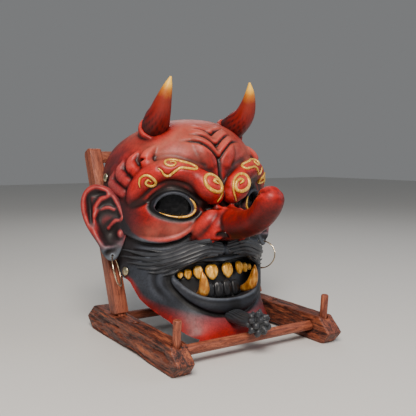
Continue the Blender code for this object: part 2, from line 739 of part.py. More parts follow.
def strapMesh(y, height):
    """Elastic band: a tab on the inside of each side wall, then straight across."""
    inside = WALL + STRAP_GAP + STRAP_THICKNESS / 2
    rows = []
    for depth in (y - STRAP_TAB, y, y + STRAP_TAB):
        rows.append((0.0, depth, math.pi / 2))
    for k in range(1, 6):
        turn = math.radians(18.0 * k)
        rows.append((STRAP_BEND * (1 - math.cos(turn)),
                     y + STRAP_TAB + STRAP_BEND * math.sin(turn), math.pi / 2 + turn))
    verts = []
    for side in (1, -1):
        for inward, depth, turn in (rows if side == 1 else rows[::-1]):
            for z in (-STRAP_WIDTH / 2, STRAP_WIDTH / 2):
                wall = sideSurface(min(depth, y + STRAP_TAB), height + z) - inside
                for t in (-STRAP_THICKNESS / 2, STRAP_THICKNESS / 2):
                    verts.append((side * (wall - inward + t * math.sin(turn)),
                                  depth - t * math.cos(turn), height + z))
    faces = [[0, 1, 3, 2]]
    count = 2 * len(rows)
    for k in range(count - 1):
        a = 4 * k
        b = a + 4
        faces += [[a, b, b + 1, a + 1], [a + 1, b + 1, b + 3, a + 3],
                  [a + 3, b + 3, b + 2, a + 2], [a + 2, b + 2, b, a]]
    last = 4 * (count - 1)
    faces.append([last, last + 2, last + 3, last + 1])
    return meshFrom("strap", verts, faces)


def toothMesh(x, frontY, middleZ, width, height, thickness):
    """Upper tooth: broad at the gum, drawn in to a rounded tip."""
    top = height / 2
    outline = [(-0.40 * width, top), (0.40 * width, top), (0.5 * width, 0.55 * top),
               (0.47 * width, -0.1 * top), (0.30 * width, -0.7 * top), (0.1 * width, -top),
               (-0.1 * width, -top), (-0.30 * width, -0.7 * top), (-0.47 * width, -0.1 * top),
               (-0.5 * width, 0.55 * top)]
    count = len(outline)
    verts = []
    for depth, shrink in ((0.0, 0.72), (0.9, 0.94), (2.0, 1.0), (thickness, 1.0)):
        for a, b in outline:
            verts.append((x + a * shrink, frontY + depth, middleZ + b * shrink))
    faces = [list(range(count)), [3 * count + k for k in range(count)][::-1]]
    for layer in range(3):
        for k in range(count):
            n = (k + 1) % count
            a = layer * count
            faces.append([a + k, a + n, a + count + n, a + count + k])
    return meshFrom("tooth", verts, faces)


def buildShell(parent, paint):
    """Moulded shell with its brows, cheeks, nose, moustache, lip and horn collars."""
    parts = [newObject("tool", headMesh("head", 0.0, 120, 110, True), None)]
    for side in (-1, 1):
        for line in (BROW_LINE, WING_LINE, MOUSTACHE_LINE, LOWER_LIP_LINE):
            parts.append(newObject("tool", featureTube("form", line, side), None))
        rows = hornRows()[1:1 + len(COLLAR_SWELL)]
        ring = tubeMesh("collar", [(x * side, y, z) for x, y, z, _ in rows],
                        [r + swell for (_, _, _, r), swell in zip(rows, COLLAR_SWELL)], 20)
        parts.append(newObject("tool", ring, None))
        lobe = tubeMesh("lobe", [tuple(facePoint(side * a, b, FOREHEAD_INSET))
                                 for a, b, _ in FOREHEAD_LINE],
                        [r for _, _, r in FOREHEAD_LINE], 14)
        parts.append(newObject("tool", lobe, None))
    nose = smoothPath(NOSE_LINE, 4)
    parts.append(newObject("tool", tubeMesh("nose", [(0.0, y, z) for y, z, _ in nose],
                                            [r for _, _, r in nose], 20), None))
    shell = join(parts, "mask_shell", paint)
    skinOver(shell, VOXEL, 3, SHELL_SHARE)
    inner = newObject("tool", headMesh("inner", WALL, 44, 34), None)
    bore = newObject("tool2", tubeMesh("bore", [(0.0, y, z) for y, z, _ in nose],
                                       [r - WALL for _, _, r in nose], 12), None)
    boolean(inner, bore, "UNION")
    boolean(shell, inner)
    edge = list(EDGE_LINE)
    edge += [(200.0, 300.0), (200.0, -40.0), (-36.0, -40.0)]
    boolean(shell, newObject("tool", prism("edge", edge, -150.0, 150.0, "X"), None))
    boolean(shell, newObject("tool", outlinePrism("mouth", MOUTH_LINE, -90.0, 10.0), None))
    for side in (-1, 1):
        boolean(shell, newObject("tool", eyeCutter(side), None))
        boolean(shell, newObject("tool", hornMesh("seat", side, HORN_FIT), None))
        boolean(shell, newObject("tool", tuskMesh("seat", side, FIT + 0.3), None))
        boolean(shell, newObject("tool", earTenon(side, FIT), None))
        for y, z in (UPPER_RIVET, LOWER_RIVET):
            boolean(shell, newObject("tool", rivetMesh(side, y, z, FIT), None))
    boolean(shell, newObject("tool", tuftMesh("seat", 1.6, 9), None))
    shell.parent = parent
    return shell


def buildMask(parent, mats):
    buildShell(parent, mats["lacquer"])
    clearance = newObject("clearance", headMesh("clearance", -EAR_GAP, 96, 80, True), None)
    for side, label in ((-1, "right"), (1, "left")):
        newObject("horn_" + label, hornMesh("horn", side, 0.0), mats["lacquer"], parent)
        newObject("tusk_" + label, tuskMesh("tusk", side, 0.0), mats["gold"], parent)

        plate, bowl, hole = earMesh(side)
        ear = newObject("ear_" + label, plate, mats["lacquer"])
        boolean(ear, newObject("tool", bowl, None))
        boolean(ear, newObject("tool", hole, None))
        boolean(ear, clearance, keep=True)
        boolean(ear, newObject("tool", earTenon(side, 0.0), None), "UNION")
        ear.parent = parent

        low, high = sorted((LENS_INNER * side, LENS_OUTER * side))
        lens = patchMesh("lens", low, high, LENS_LOW, LENS_HIGH, WALL + LENS_GAP,
                         LENS_THICKNESS, 9, 6)
        newObject("eye_lens_" + label, lens, mats["lens"], parent)

        for number, tooth in enumerate(UPPER_TEETH, 1):
            x, frontY, z, width, height, thickness = tooth
            mesh = toothMesh(x * side, frontY, z, width, height, thickness)
            newObject(f"upper_tooth_{label}_{number}", mesh, mats["gold"], parent)

        for name, spot in (("upper", UPPER_RIVET), ("lower", LOWER_RIVET)):
            mesh = rivetMesh(side, *spot)
            newObject(f"rivet_{name}_{label}", mesh, mats["brass"], parent)
    discard(clearance)

    pocket = [(x * 1.01, 80.0 + (z - 80.0) * 1.02) for x, z in MOUTH_LINE]
    for name, low, high in (("upper_gum", GUM_SPLIT + 3 * FIT, GUM_TOP),
                            ("lower_gum", GUM_BOTTOM, GUM_SPLIT)):
        gum = newObject(name, patchMesh(name, -GUM_HALF_WIDTH, GUM_HALF_WIDTH, low, high,
                                        WALL + GUM_GAP, GUM_THICKNESS, 17, 5), mats["gum"])
        floor = newObject("tool", outlinePrism("pocket", pocket, -90.0, 20.0), None)
        reach = GUM_HALF_WIDTH + 5.0
        keep = newObject("tool2", patchMesh("keep", -reach, reach, low - 6, high + 6, GUM_FLOOR,
                                            2 * GUM_THICKNESS, 21, 6), None)
        boolean(floor, keep)
        boolean(gum, floor)
        if name == "lower_gum":
            for x in LOWER_TEETH_X:
                root = facePoint(x, LOWER_TOOTH_Z, GUM_FLOOR - LOWER_TOOTH_RISE)
                peg = toothMesh(0.0, 0.0, 0.0, *LOWER_TOOTH)
                peg.transform(Matrix.Translation(Vector((x, root[1], LOWER_TOOTH_Z)) * MM)
                              @ Matrix.Rotation(math.pi, 4, "Y"))
                boolean(gum, newObject("tool", placeOn(peg, Matrix.Identity(4)), None), "UNION")
        for side in (-1, 1):
            boolean(gum, newObject("tool", tuskMesh("seat", side, FIT), None))
        gum.parent = parent

    stem = newObject("stem", tuftMesh("stem", 0.0), None)
    ball = [stem]
    centre = Vector((0.0, *TUFT_LINE[-1][:2]))
    core = tubeMesh("core", [centre - Vector((0.2, 0, 0)), centre + Vector((0.2, 0, 0))],
                    [KNOB_RADIUS] * 2, 16)
    ball.append(newObject("core", core, None))
    for turn, lift in CURL_SPOTS:
        for side in (-1, 1):
            turnBy = math.radians(turn)
            level = math.cos(math.radians(lift))
            way = Vector((side * level * math.sin(turnBy), -level * math.cos(turnBy),
                          math.sin(math.radians(lift))))
            spot = centre + way * KNOB_RADIUS
            curl = tubeMesh("curl", [spot - Vector((0.2, 0, 0)), spot + Vector((0.2, 0, 0))],
                            [CURL_RADIUS] * 2, 10)
            ball.append(newObject("curl", curl, None))
    tuft = join(ball, "chin_tuft", mats["dark"])
    skinOver(tuft, 1.3, 2, 0.09)
    tuft.parent = parent

    for name, spot in (("upper_strap", UPPER_RIVET), ("lower_strap", LOWER_RIVET)):
        band = newObject(name, strapMesh(*spot), mats["elastic"])
        for side in (-1, 1):
            boolean(band, newObject("tool", rivetMesh(side, *spot, FIT), None))
        band.parent = parent


def buildEarrings(root, leanMatrix, metal):
    """Wire hoops through the lobes, leaning in against the jaw."""
    for side, label in ((-1, "right"), (1, "left")):
        frame = earFrame(side)
        hole = frame @ (Vector((*LOBE_HOLE, 0.0)) * MM)
        pivot = leanMatrix @ hole
        axis = (leanMatrix.to_3x3() @ (frame.to_3x3() @ Vector((0, 0, 1)))).normalized()
        down = Vector((0.0, 0.0, -1.0))
        down = (down - axis * down.dot(axis)).normalized()
        inward = (leanMatrix.to_3x3() @ (frame.to_3x3() @ Vector((-1, 0, 0)))).normalized()
        tilt = math.radians(HOOP_TILT)
        hang = (down * math.cos(tilt) + inward * math.sin(tilt)).normalized()
        hang = (hang - axis * hang.dot(axis)).normalized()
        radius = HOOP_DIAMETER / 2
        verts = []
        faces = []
        around = 30
        sides = 6
        for i in range(around):
            turn = 2 * math.pi * i / around
            outward = -hang * math.cos(turn) + axis * math.sin(turn)
            across = axis.cross(hang)
            centre = hang * radius + outward * radius
            for k in range(sides):
                roll = 2 * math.pi * k / sides
                point = centre + (outward * math.cos(roll) + across * math.sin(roll)) * HOOP_WIRE
                verts.append(point)
                n = (i + 1) % around
                m = (k + 1) % sides
                faces.append([i * sides + k, i * sides + m, n * sides + m, n * sides + k])
        hoop = newObject("earring_" + label, meshFrom("hoop", verts, faces), metal, root)
        hoop.location = pivot


def settle(parent):
    """Move everything so that the origin is under the middle of the whole thing."""
    bpy.context.view_layer.update()
    low = Vector((1e9, 1e9, 1e9))
    high = -low
    for ob in bpy.data.objects:
        if ob.type == "MESH":
            for v in ob.data.vertices:
                p = ob.matrix_world @ v.co
                low = Vector(min(a, b) for a, b in zip(low, p))
                high = Vector(max(a, b) for a, b in zip(high, p))
    parent.location = (-(low.x + high.x) / 2, -(low.y + high.y) / 2, -low.z)


def main():
    for ob in list(bpy.data.objects):
        bpy.data.objects.remove(ob, do_unlink=True)
    mats = {
        "lacquer": makeMaterial("lacquer", (0.42, 0.035, 0.03), 0.45),
        "gold": makeMaterial("gold", (0.72, 0.45, 0.12), 0.3, 1.0),
        "brass": makeMaterial("brass", (0.62, 0.58, 0.42), 0.25, 1.0),
        "dark": makeMaterial("dark", (0.03, 0.032, 0.038), 0.45),
        "gum": makeMaterial("gum", (0.015, 0.015, 0.018), 0.4),
        "lens": makeMaterial("lens", (0.01, 0.01, 0.012), 0.12),
        "hoop": makeMaterial("hoop", (0.75, 0.68, 0.55), 0.2, 1.0),
        "elastic": makeMaterial("elastic", (0.02, 0.02, 0.02), 0.9),
        "wood": makeMaterial("wood", (0.23, 0.09, 0.045), 0.5),
        "bark": makeMaterial("bark", (0.14, 0.055, 0.03), 0.6),
    }
    root = bpy.data.objects.new("placed", None)
    bpy.context.scene.collection.objects.link(root)
    leaned = bpy.data.objects.new("mask_frame", None)
    bpy.context.scene.collection.objects.link(leaned)
    leaned.parent = root
    leaned.location = (0.0, MASK_Y * MM, MASK_Z * MM)
    leaned.rotation_euler = (-math.radians(MASK_LEAN), 0.0, 0.0)
    leanMatrix = (Matrix.Translation(leaned.location)
                  @ Matrix.Rotation(-math.radians(MASK_LEAN), 4, "X"))
    buildStand(root, mats["wood"], mats["bark"])
    buildMask(leaned, mats)
    buildEarrings(root, leanMatrix, mats["hoop"])
    settle(root)


main()
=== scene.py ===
import math
import random

import bpy
import numpy as np
from mathutils import Matrix, Vector, noise
from mathutils.bvhtree import BVHTree


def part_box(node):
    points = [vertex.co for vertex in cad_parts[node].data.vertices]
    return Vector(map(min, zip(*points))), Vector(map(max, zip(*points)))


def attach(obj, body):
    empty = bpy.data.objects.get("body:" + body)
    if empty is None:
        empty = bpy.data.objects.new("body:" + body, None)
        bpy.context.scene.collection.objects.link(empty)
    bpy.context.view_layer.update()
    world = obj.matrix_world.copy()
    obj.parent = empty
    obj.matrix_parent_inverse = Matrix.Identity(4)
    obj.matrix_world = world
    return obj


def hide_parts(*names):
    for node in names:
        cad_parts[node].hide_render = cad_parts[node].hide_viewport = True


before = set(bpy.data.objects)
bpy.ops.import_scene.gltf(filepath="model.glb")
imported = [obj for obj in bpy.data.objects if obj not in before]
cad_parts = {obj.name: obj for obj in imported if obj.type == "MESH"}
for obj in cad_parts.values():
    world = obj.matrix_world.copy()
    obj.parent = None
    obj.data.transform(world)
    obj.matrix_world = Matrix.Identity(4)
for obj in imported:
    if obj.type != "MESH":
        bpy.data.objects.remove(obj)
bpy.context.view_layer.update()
random.seed(7)

# The mask is worked in its own upright frame in millimetres: x across, y back, z up the face.
dowelLow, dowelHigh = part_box("front_dowel")
frontDowel = 0.034                                 # dowel's depth in the stand's own drawing
backShift = (dowelLow[1] + dowelHigh[1]) / 2 - frontDowel
maskLean = math.radians(15)
maskPlace = (Matrix.Translation((0.0, 0.104 + backShift, 0.002))
             @ Matrix.Rotation(-maskLean, 4, "X"))
toRow = np.array(maskPlace)

headForm = {
    # height, half width, front, back, squareness
    "stations": [
        (-9, 64, -40, 54, 3.0), (-4, 78, -48.5, 58, 3.0), (4, 83, -51, 60, 3.0),
        (14, 82, -50, 62, 2.8), (28, 84, -45, 65, 2.5), (43, 88, -43, 68, 2.2),
        (58, 93, -42, 76, 2.2), (82, 98, -42, 84, 2.2), (115, 99, -44, 90, 2.2),
        (145, 100, -52, 94, 2.2), (175, 101, -60, 97, 2.2), (205, 101.5, -64, 98, 2.2),
        (230, 97, -61, 98, 2.2), (252, 83, -50, 92, 2.2), (268, 62, -30, 80, 2.2),
        (277, 38, -4, 62, 2.2), (281, 10, 20, 42, 2.2),
    ],
    "widest": 45.0,
    "wall": 4.0,
    "edge": [
        (-36, -14), (-44, 3), (-37, 9), (-26, 18), (-15, 28), (-1, 39), (8, 48), (15, 58),
        (18.5, 70), (21.5, 79), (26, 83), (34, 86.5), (40, 93), (42.8, 103), (51.8, 190),
        (57, 240), (61, 270), (64, 300),
    ],
    "eye": [
        (-75, 161), (-72, 167), (-65, 171.5), (-56, 171.5), (-47, 167), (-40, 159),
        (-38.5, 152), (-42, 147.5), (-51, 145.5), (-61, 148), (-69, 152.5), (-73.5, 157),
    ],
    "mouth": [
        (61, 78.5), (55, 86.5), (42, 91), (24, 91), (0, 88.5), (-24, 91), (-42, 91),
        (-55, 86.5), (-61, 78.5), (-55, 67), (-44, 56), (-31, 49), (-15, 45.5), (0, 44.5),
        (15, 45.5), (31, 49), (44, 56), (55, 67),
    ],
    "cheek": [
        (101, 172), (99, 150), (96, 137), (91, 129), (84, 123), (75, 119.5), (66, 118),
        (52, 120), (40, 127), (32, 136), (24, 146),
    ],
    "cheekStep": 5.5,
    "voxel": 1.25,           # millimetres between the sculpted points
}
reliefForms = {
    # x, inset, height, radius
    "brow": [(13, -3, 168, 13.5), (20, -5, 176, 16), (33, 1, 188, 13), (48, 1, 197, 12.5),
             (64, 1, 201, 13), (79, 1, 196, 13.5), (88, 1, 184, 12), (92, 3, 175, 9)],
    "wing": [(32, 1, 120, 8), (29, -5, 129, 10.5), (20, -9, 139, 12), (10, -9, 147, 9)],
    "nostril": [(27, -7, 120, 8.5), (20, -13, 124, 11), (13, -17, 132, 13), (6, -16, 143, 12)],
    "moustache": [(5, -1, 103, 8), (24, -2, 106, 9.5), (44, -1, 101, 9), (62, 0, 98, 8),
                  (74, 2, 100, 6), (84, 3, 105, 4)],
    "lowerLip": [(0, -2, 35.5, 9), (18, -2, 36.5, 9), (33, -2, 42, 8), (45, -1, 51, 6.5),
                 (55, 0, 61, 5), (62, 0, 72, 4)],
    "foreheadLobe": [(12, 14, 206, 17), (15, 15, 220, 20), (17, 17, 238, 21), (17, 18, 254, 19)],
    # y, z, radius along the middle
    "nose": [(-40, 132, 18), (-68, 129, 19), (-86, 126, 17), (-104, 124.5, 15.5),
             (-124, 127, 15), (-140, 135, 15.5), (-148, 142, 15.5)],
}


# small tools
def note(text):
    print("stage:", text, flush=True)


def sideName(side):
    return "left" if side > 0 else "right"


def placed(points):
    pts = np.asarray(points, float).reshape(-1, 3) / 1000.0
    return pts @ toRow[:3, :3].T + toRow[:3, 3]


def ownMillimetres(pts):
    inverse = np.linalg.inv(toRow)
    return (pts @ inverse[:3, :3].T + inverse[:3, 3]) * 1000.0


def curveThrough(points, steps):
    pts = np.array(points, float)
    padded = np.vstack([2 * pts[0] - pts[1], pts, 2 * pts[-1] - pts[-2]])
    rows = []
    for k in range(len(pts) - 1):
        a, b, c, d = padded[k:k + 4]
        for s in range(steps):
            t = s / steps
            rows.append(0.5 * (2 * b + (c - a) * t + (2 * a - 5 * b + 4 * c - d) * t * t
                               + (3 * b - a - 3 * c + d) * t ** 3))
    rows.append(pts[-1])
    return np.array(rows)


def meshObject(name, verts, faces):
    mesh = bpy.data.meshes.new(name)
    mesh.from_pydata([tuple(v) for v in verts], [], faces)
    mesh.update()
    ob = bpy.data.objects.new(name, mesh)
    bpy.context.scene.collection.objects.link(ob)
    return ob


def pick(ob):
    if bpy.context.object and bpy.context.object.mode != "OBJECT":
        bpy.ops.object.mode_set(mode="OBJECT")
    bpy.ops.object.select_all(action="DESELECT")
    ob.select_set(True)
    bpy.context.view_layer.objects.active = ob


def cleanNormals(ob):
    pick(ob)
    bpy.ops.object.mode_set(mode="EDIT")
    bpy.ops.mesh.select_all(action="SELECT")
    bpy.ops.mesh.remove_doubles(threshold=0.00001)
    bpy.ops.mesh.normals_make_consistent(inside=False)
    bpy.ops.object.mode_set(mode="OBJECT")


def useModifier(ob, kind, **settings):
    pick(ob)
    mod = ob.modifiers.new(kind.lower(), kind)
    for key, value in settings.items():
        setattr(mod, key, value)
    bpy.ops.object.modifier_apply(modifier=mod.name)
    return ob


def carve(ob, tool, operation="DIFFERENCE"):
    useModifier(ob, "BOOLEAN", operation=operation, object=tool, solver="MANIFOLD")
    bpy.data.objects.remove(tool, do_unlink=True)
    return ob


def joined(parts, name):
    pick(parts[0])
    for ob in parts[1:]:
        ob.select_set(True)
    bpy.ops.object.join()
    ob = bpy.context.object
    ob.name = name
    ob.data.name = name
    return ob


def coords(ob):
    flat = np.empty(len(ob.data.vertices) * 3)
    ob.data.vertices.foreach_get("co", flat)
    return flat.reshape(-1, 3)


def setCoords(ob, pts):
    ob.data.vertices.foreach_set("co", np.asarray(pts, float).ravel())
    ob.data.update()


def vertexNormals(ob):
    flat = np.empty(len(ob.data.vertices) * 3)
    ob.data.vertex_normals.foreach_get("vector", flat)
    return flat.reshape(-1, 3)


def edgePairs(ob):
    flat = np.empty(len(ob.data.edges) * 2, dtype=np.int64)
    ob.data.edges.foreach_get("vertices", flat)
    return flat.reshape(-1, 2)


def relaxed(values, pairs, rounds):
    values = np.array(values, float)
    count = np.bincount(pairs.ravel(), minlength=len(values))[:, None]
    count = np.maximum(count, 1)
    flat = values.ndim == 1
    if flat:
        values = values[:, None]
    for _ in range(rounds):
        total = np.zeros_like(values)
        for k in range(values.shape[1]):
            total[:, k] += np.bincount(pairs[:, 0], values[pairs[:, 1], k], len(values))
            total[:, k] += np.bincount(pairs[:, 1], values[pairs[:, 0], k], len(values))
        values = 0.5 * values + 0.5 * total / count
    return values[:, 0] if flat else values


def tubeParts(path, radii, sides, squash=1.0, roundEnds=True, up=(0, 0, 1)):
    path = [Vector(p) for p in path]
    rings = []
    for k, point in enumerate(path):
        ahead = (path[min(k + 1, len(path) - 1)] - path[max(k - 1, 0)]).normalized()
        side = ahead.cross(Vector(up))
        if side.length < 0.1:
            side = ahead.cross(Vector((1, 0, 0)))
        side.normalize()
        rings.append((point, side, side.cross(ahead), ahead, float(radii[k])))
    if roundEnds:
        point, side, lift, ahead, r = rings[0]
        first = [(point - ahead * r * math.cos(t), side, lift, ahead, r * math.sin(t))
                 for t in (0.3, 0.75, 1.2)]
        point, side, lift, ahead, r = rings[-1]
        last = [(point + ahead * r * math.cos(t), side, lift, ahead, r * math.sin(t))
                for t in (1.2, 0.75, 0.3)]
        rings = first + rings + last
    verts = []
    for point, side, lift, ahead, r in rings:
        for k in range(sides):
            turn = 2 * math.pi * k / sides
            verts.append(point + side * r * math.cos(turn) + lift * r * squash * math.sin(turn))
    faces = [list(range(sides))[::-1]]
    for row in range(len(rings) - 1):
        for k in range(sides):
            n = (k + 1) % sides
            a = row * sides
            faces.append([a + k, a + n, a + sides + n, a + sides + k])
    last = (len(rings) - 1) * sides
    faces.append([last + k for k in range(sides)])
    return verts, faces


def tube(name, path, radii, sides=16, squash=1.0, roundEnds=True, up=(0, 0, 1), row=True):
    verts, faces = tubeParts(path, radii, sides, squash, roundEnds, up)
    pts = np.array([tuple(v) for v in verts])
    ob = meshObject(name, placed(pts) if row else pts / 1000.0, faces)
    cleanNormals(ob)
    return ob


def prism(name, outline, low, high, axis, row=True):
    order = {"X": (2, 0, 1), "Y": (0, 2, 1), "Z": (0, 1, 2)}[axis]
    verts = []
    for level in (low, high):
        for a, b in outline:
            source = (a, b, level)
            verts.append([source[k] for k in order])
    count = len(outline)
    faces = [list(range(count)), list(range(2 * count - 1, count - 1, -1))]
    for k in range(count):
        n = (k + 1) % count
        faces.append([k, n, count + n, count + k])
    ob = meshObject(name, placed(verts) if row else np.array(verts) / 1000.0, faces)
    cleanNormals(ob)
    return ob


# the bare head form
stationRows = curveThrough(headForm["stations"], 8)


def stationAt(height):
    return [np.interp(height, stationRows[:, 0], stationRows[:, k]) for k in range(1, 5)]


def faceY(x, height):
    width, front, _, power = stationAt(height)
    share = np.clip(np.abs(x) / width, 0.0, 0.995)
    middle = headForm["widest"]
    return middle - (middle - front) * (1 - share ** power) ** (1 / power)


def facePoint(x, height, inset=0.0):
    step = 0.6
    slopeX = (faceY(x + step, height) - faceY(x - step, height)) / (2 * step)
    slopeZ = (faceY(x, height + step) - faceY(x, height - step)) / (2 * step)
    normal = np.array([slopeX, -1.0, slopeZ])
    normal /= np.linalg.norm(normal)
    return np.array([x, faceY(x, height), height]) - normal * inset


def sideSurface(y, height):
    width, front, back, power = stationAt(height)
    middle = headForm["widest"]
    reach = np.where(y < middle, middle - front, back - middle)
    share = np.clip(np.abs(middle - y) / reach, 0, 0.999)
    return width * (1 - share ** power) ** (1 / power)


def cheekEdge(x):
    line = np.array(headForm["cheek"], float)
    return np.interp(np.abs(x), line[::-1, 0], line[::-1, 1])


def cheekLift(x, z):
    across = np.abs(x)
    inner = headForm["cheek"][-1][0]
    rise = np.clip((z - cheekEdge(x)) / 1.6 + 0.5, 0, 1)
    fade = np.clip((205 - z) / 60, 0, 1)
    near = np.clip((across - inner + 4) / 10, 0, 1)
    return headForm["cheekStep"] * rise * fade * near


def headGrid(name, inset, around, rows, relief):
    levels = np.linspace(headForm["stations"][0][0], headForm["stations"][-1][0], rows)
    width, front, back, power = [v[:, None] for v in stationAt(levels)]
    turn = 2 * math.pi * np.arange(around) / around
    s = np.sin(turn)[None, :]
    c = np.cos(turn)[None, :]
    e = 2 / power
    middle = headForm["widest"]
    x = width * np.sign(s) * np.abs(s) ** e
    reach = np.where(c > 0, middle - front, back - middle)
    y = middle - np.sign(c) * reach * np.abs(c) ** e
    z = np.repeat(levels[:, None], around, 1)
    grid = np.stack([x, y, z], 2)
    along = np.gradient(grid, axis=0)
    across = (np.roll(grid, -1, 1) - np.roll(grid, 1, 1)) / 2
    normal = np.cross(across, along)
    normal /= np.maximum(np.linalg.norm(normal, axis=2, keepdims=True), 1e-9)
    if np.sum(normal[rows // 2] * (grid[rows // 2] - np.array([0, middle, 0]))) < 0:
        normal = -normal
    lift = np.full((rows, around), -inset)
    if relief:
        lift = lift + np.where(y < middle, cheekLift(x, z), 0)
    grid = grid + normal * lift[:, :, None]
    verts = [tuple(p) for p in grid.reshape(-1, 3)]
    faces = []
    for i in range(rows - 1):
        for k in range(around):
            n = (k + 1) % around
            a = i * around
            faces.append([a + k, a + n, a + around + n, a + around + k])
    for row in (0, rows - 1):
        verts.append(tuple(grid[row].mean(axis=0)))
        hub = len(verts) - 1
        for k in range(around):
            faces.append([row * around + k, row * around + (k + 1) % around, hub])
    ob = meshObject(name, placed(verts), faces)
    cleanNormals(ob)
    return ob


def facePatch(name, lowX, highX, lowZ, highZ, inset, thickness, nx, nz):
    front = []
    back = []
    for height in np.linspace(lowZ, highZ, nz):
        for x in np.linspace(lowX, highX, nx):
            front.append(facePoint(x, height, inset))
            back.append(facePoint(x, height, inset + thickness))
    count = nx * nz
    faces = []
    for i in range(nz - 1):
        for k in range(nx - 1):
            a = i * nx + k
            faces.append([a, a + 1, a + nx + 1, a + nx])
            faces.append([count + a, count + a + nx, count + a + nx + 1, count + a + 1])
    rim = list(range(nx)) + [(i + 1) * nx - 1 for i in range(1, nz)]
    rim += [(nz - 1) * nx + k for k in range(nx - 2, -1, -1)]
    rim += [i * nx for i in range(nz - 2, 0, -1)]
    for k, a in enumerate(rim):
        b = rim[(k + 1) % len(rim)]
        faces.append([a, b, count + b, count + a])
    ob = meshObject(name, placed(front + back), faces)
    cleanNormals(ob)
    return ob


def reliefTube(line, side):
    rows = curveThrough(line, 6)
    path = [facePoint(x * side, z, inset) for x, inset, z, _ in rows]
    return tube("relief", path, rows[:, 3], 20)


# materials
def hexColour(text):
    channels = []
    for k in (1, 3, 5):
        value = int(text[k:k + 2], 16) / 255
        channels.append(value / 12.92 if value <= 0.04045 else ((value + 0.055) / 1.055) ** 2.4)
    return (*channels, 1.0)


def newMaterial(name):
    mat = bpy.data.materials.new(name)
    mat.use_nodes = True
    tree = mat.node_tree
    return mat, tree, tree.nodes["Principled BSDF"]


def addNode(tree, kind, settings=None, links=None):
    item = tree.nodes.new(kind)
    for key, value in (settings or {}).items():
        if isinstance(key, int) or key in item.inputs:
            item.inputs[key].default_value = value
        else:
            setattr(item, key, value)
    for key, source in (links or {}).items():
        tree.links.new(source, item.inputs[key])
    return item


def ramp(tree, source, stops):
    item = addNode(tree, "ShaderNodeValToRGB", links={"Fac": source})
    band = item.color_ramp
    band.elements[0].position = stops[0][0]
    band.elements[0].color = stops[0][1]
    band.elements[1].position = stops[-1][0]
    band.elements[1].color = stops[-1][1]
    for place, colour in stops[1:-1]:
        band.elements.new(place).color = colour
    return item.outputs["Color"]


def mixColour(tree, factor, a, b, blend="MIX"):
    item = tree.nodes.new("ShaderNodeMix")
    item.data_type = "RGBA"
    item.blend_type = blend
    for key, value in ((0, factor), (6, a), (7, b)):
        if isinstance(value, (float, int, tuple)):
            item.inputs[key].default_value = value
        else:
            tree.links.new(value, item.inputs[key])
    return item.outputs[2]


def mathNode(tree, operation, a, b=0.0, clamp=False):
    item = tree.nodes.new("ShaderNodeMath")
    item.operation = operation
    item.use_clamp = clamp
    for key, value in ((0, a), (1, b)):
        if isinstance(value, (float, int)):
            item.inputs[key].default_value = value
        else:
            tree.links.new(value, item.inputs[key])
    return item.outputs[0]


def grey(value):
    return (value, value, value, 1.0)


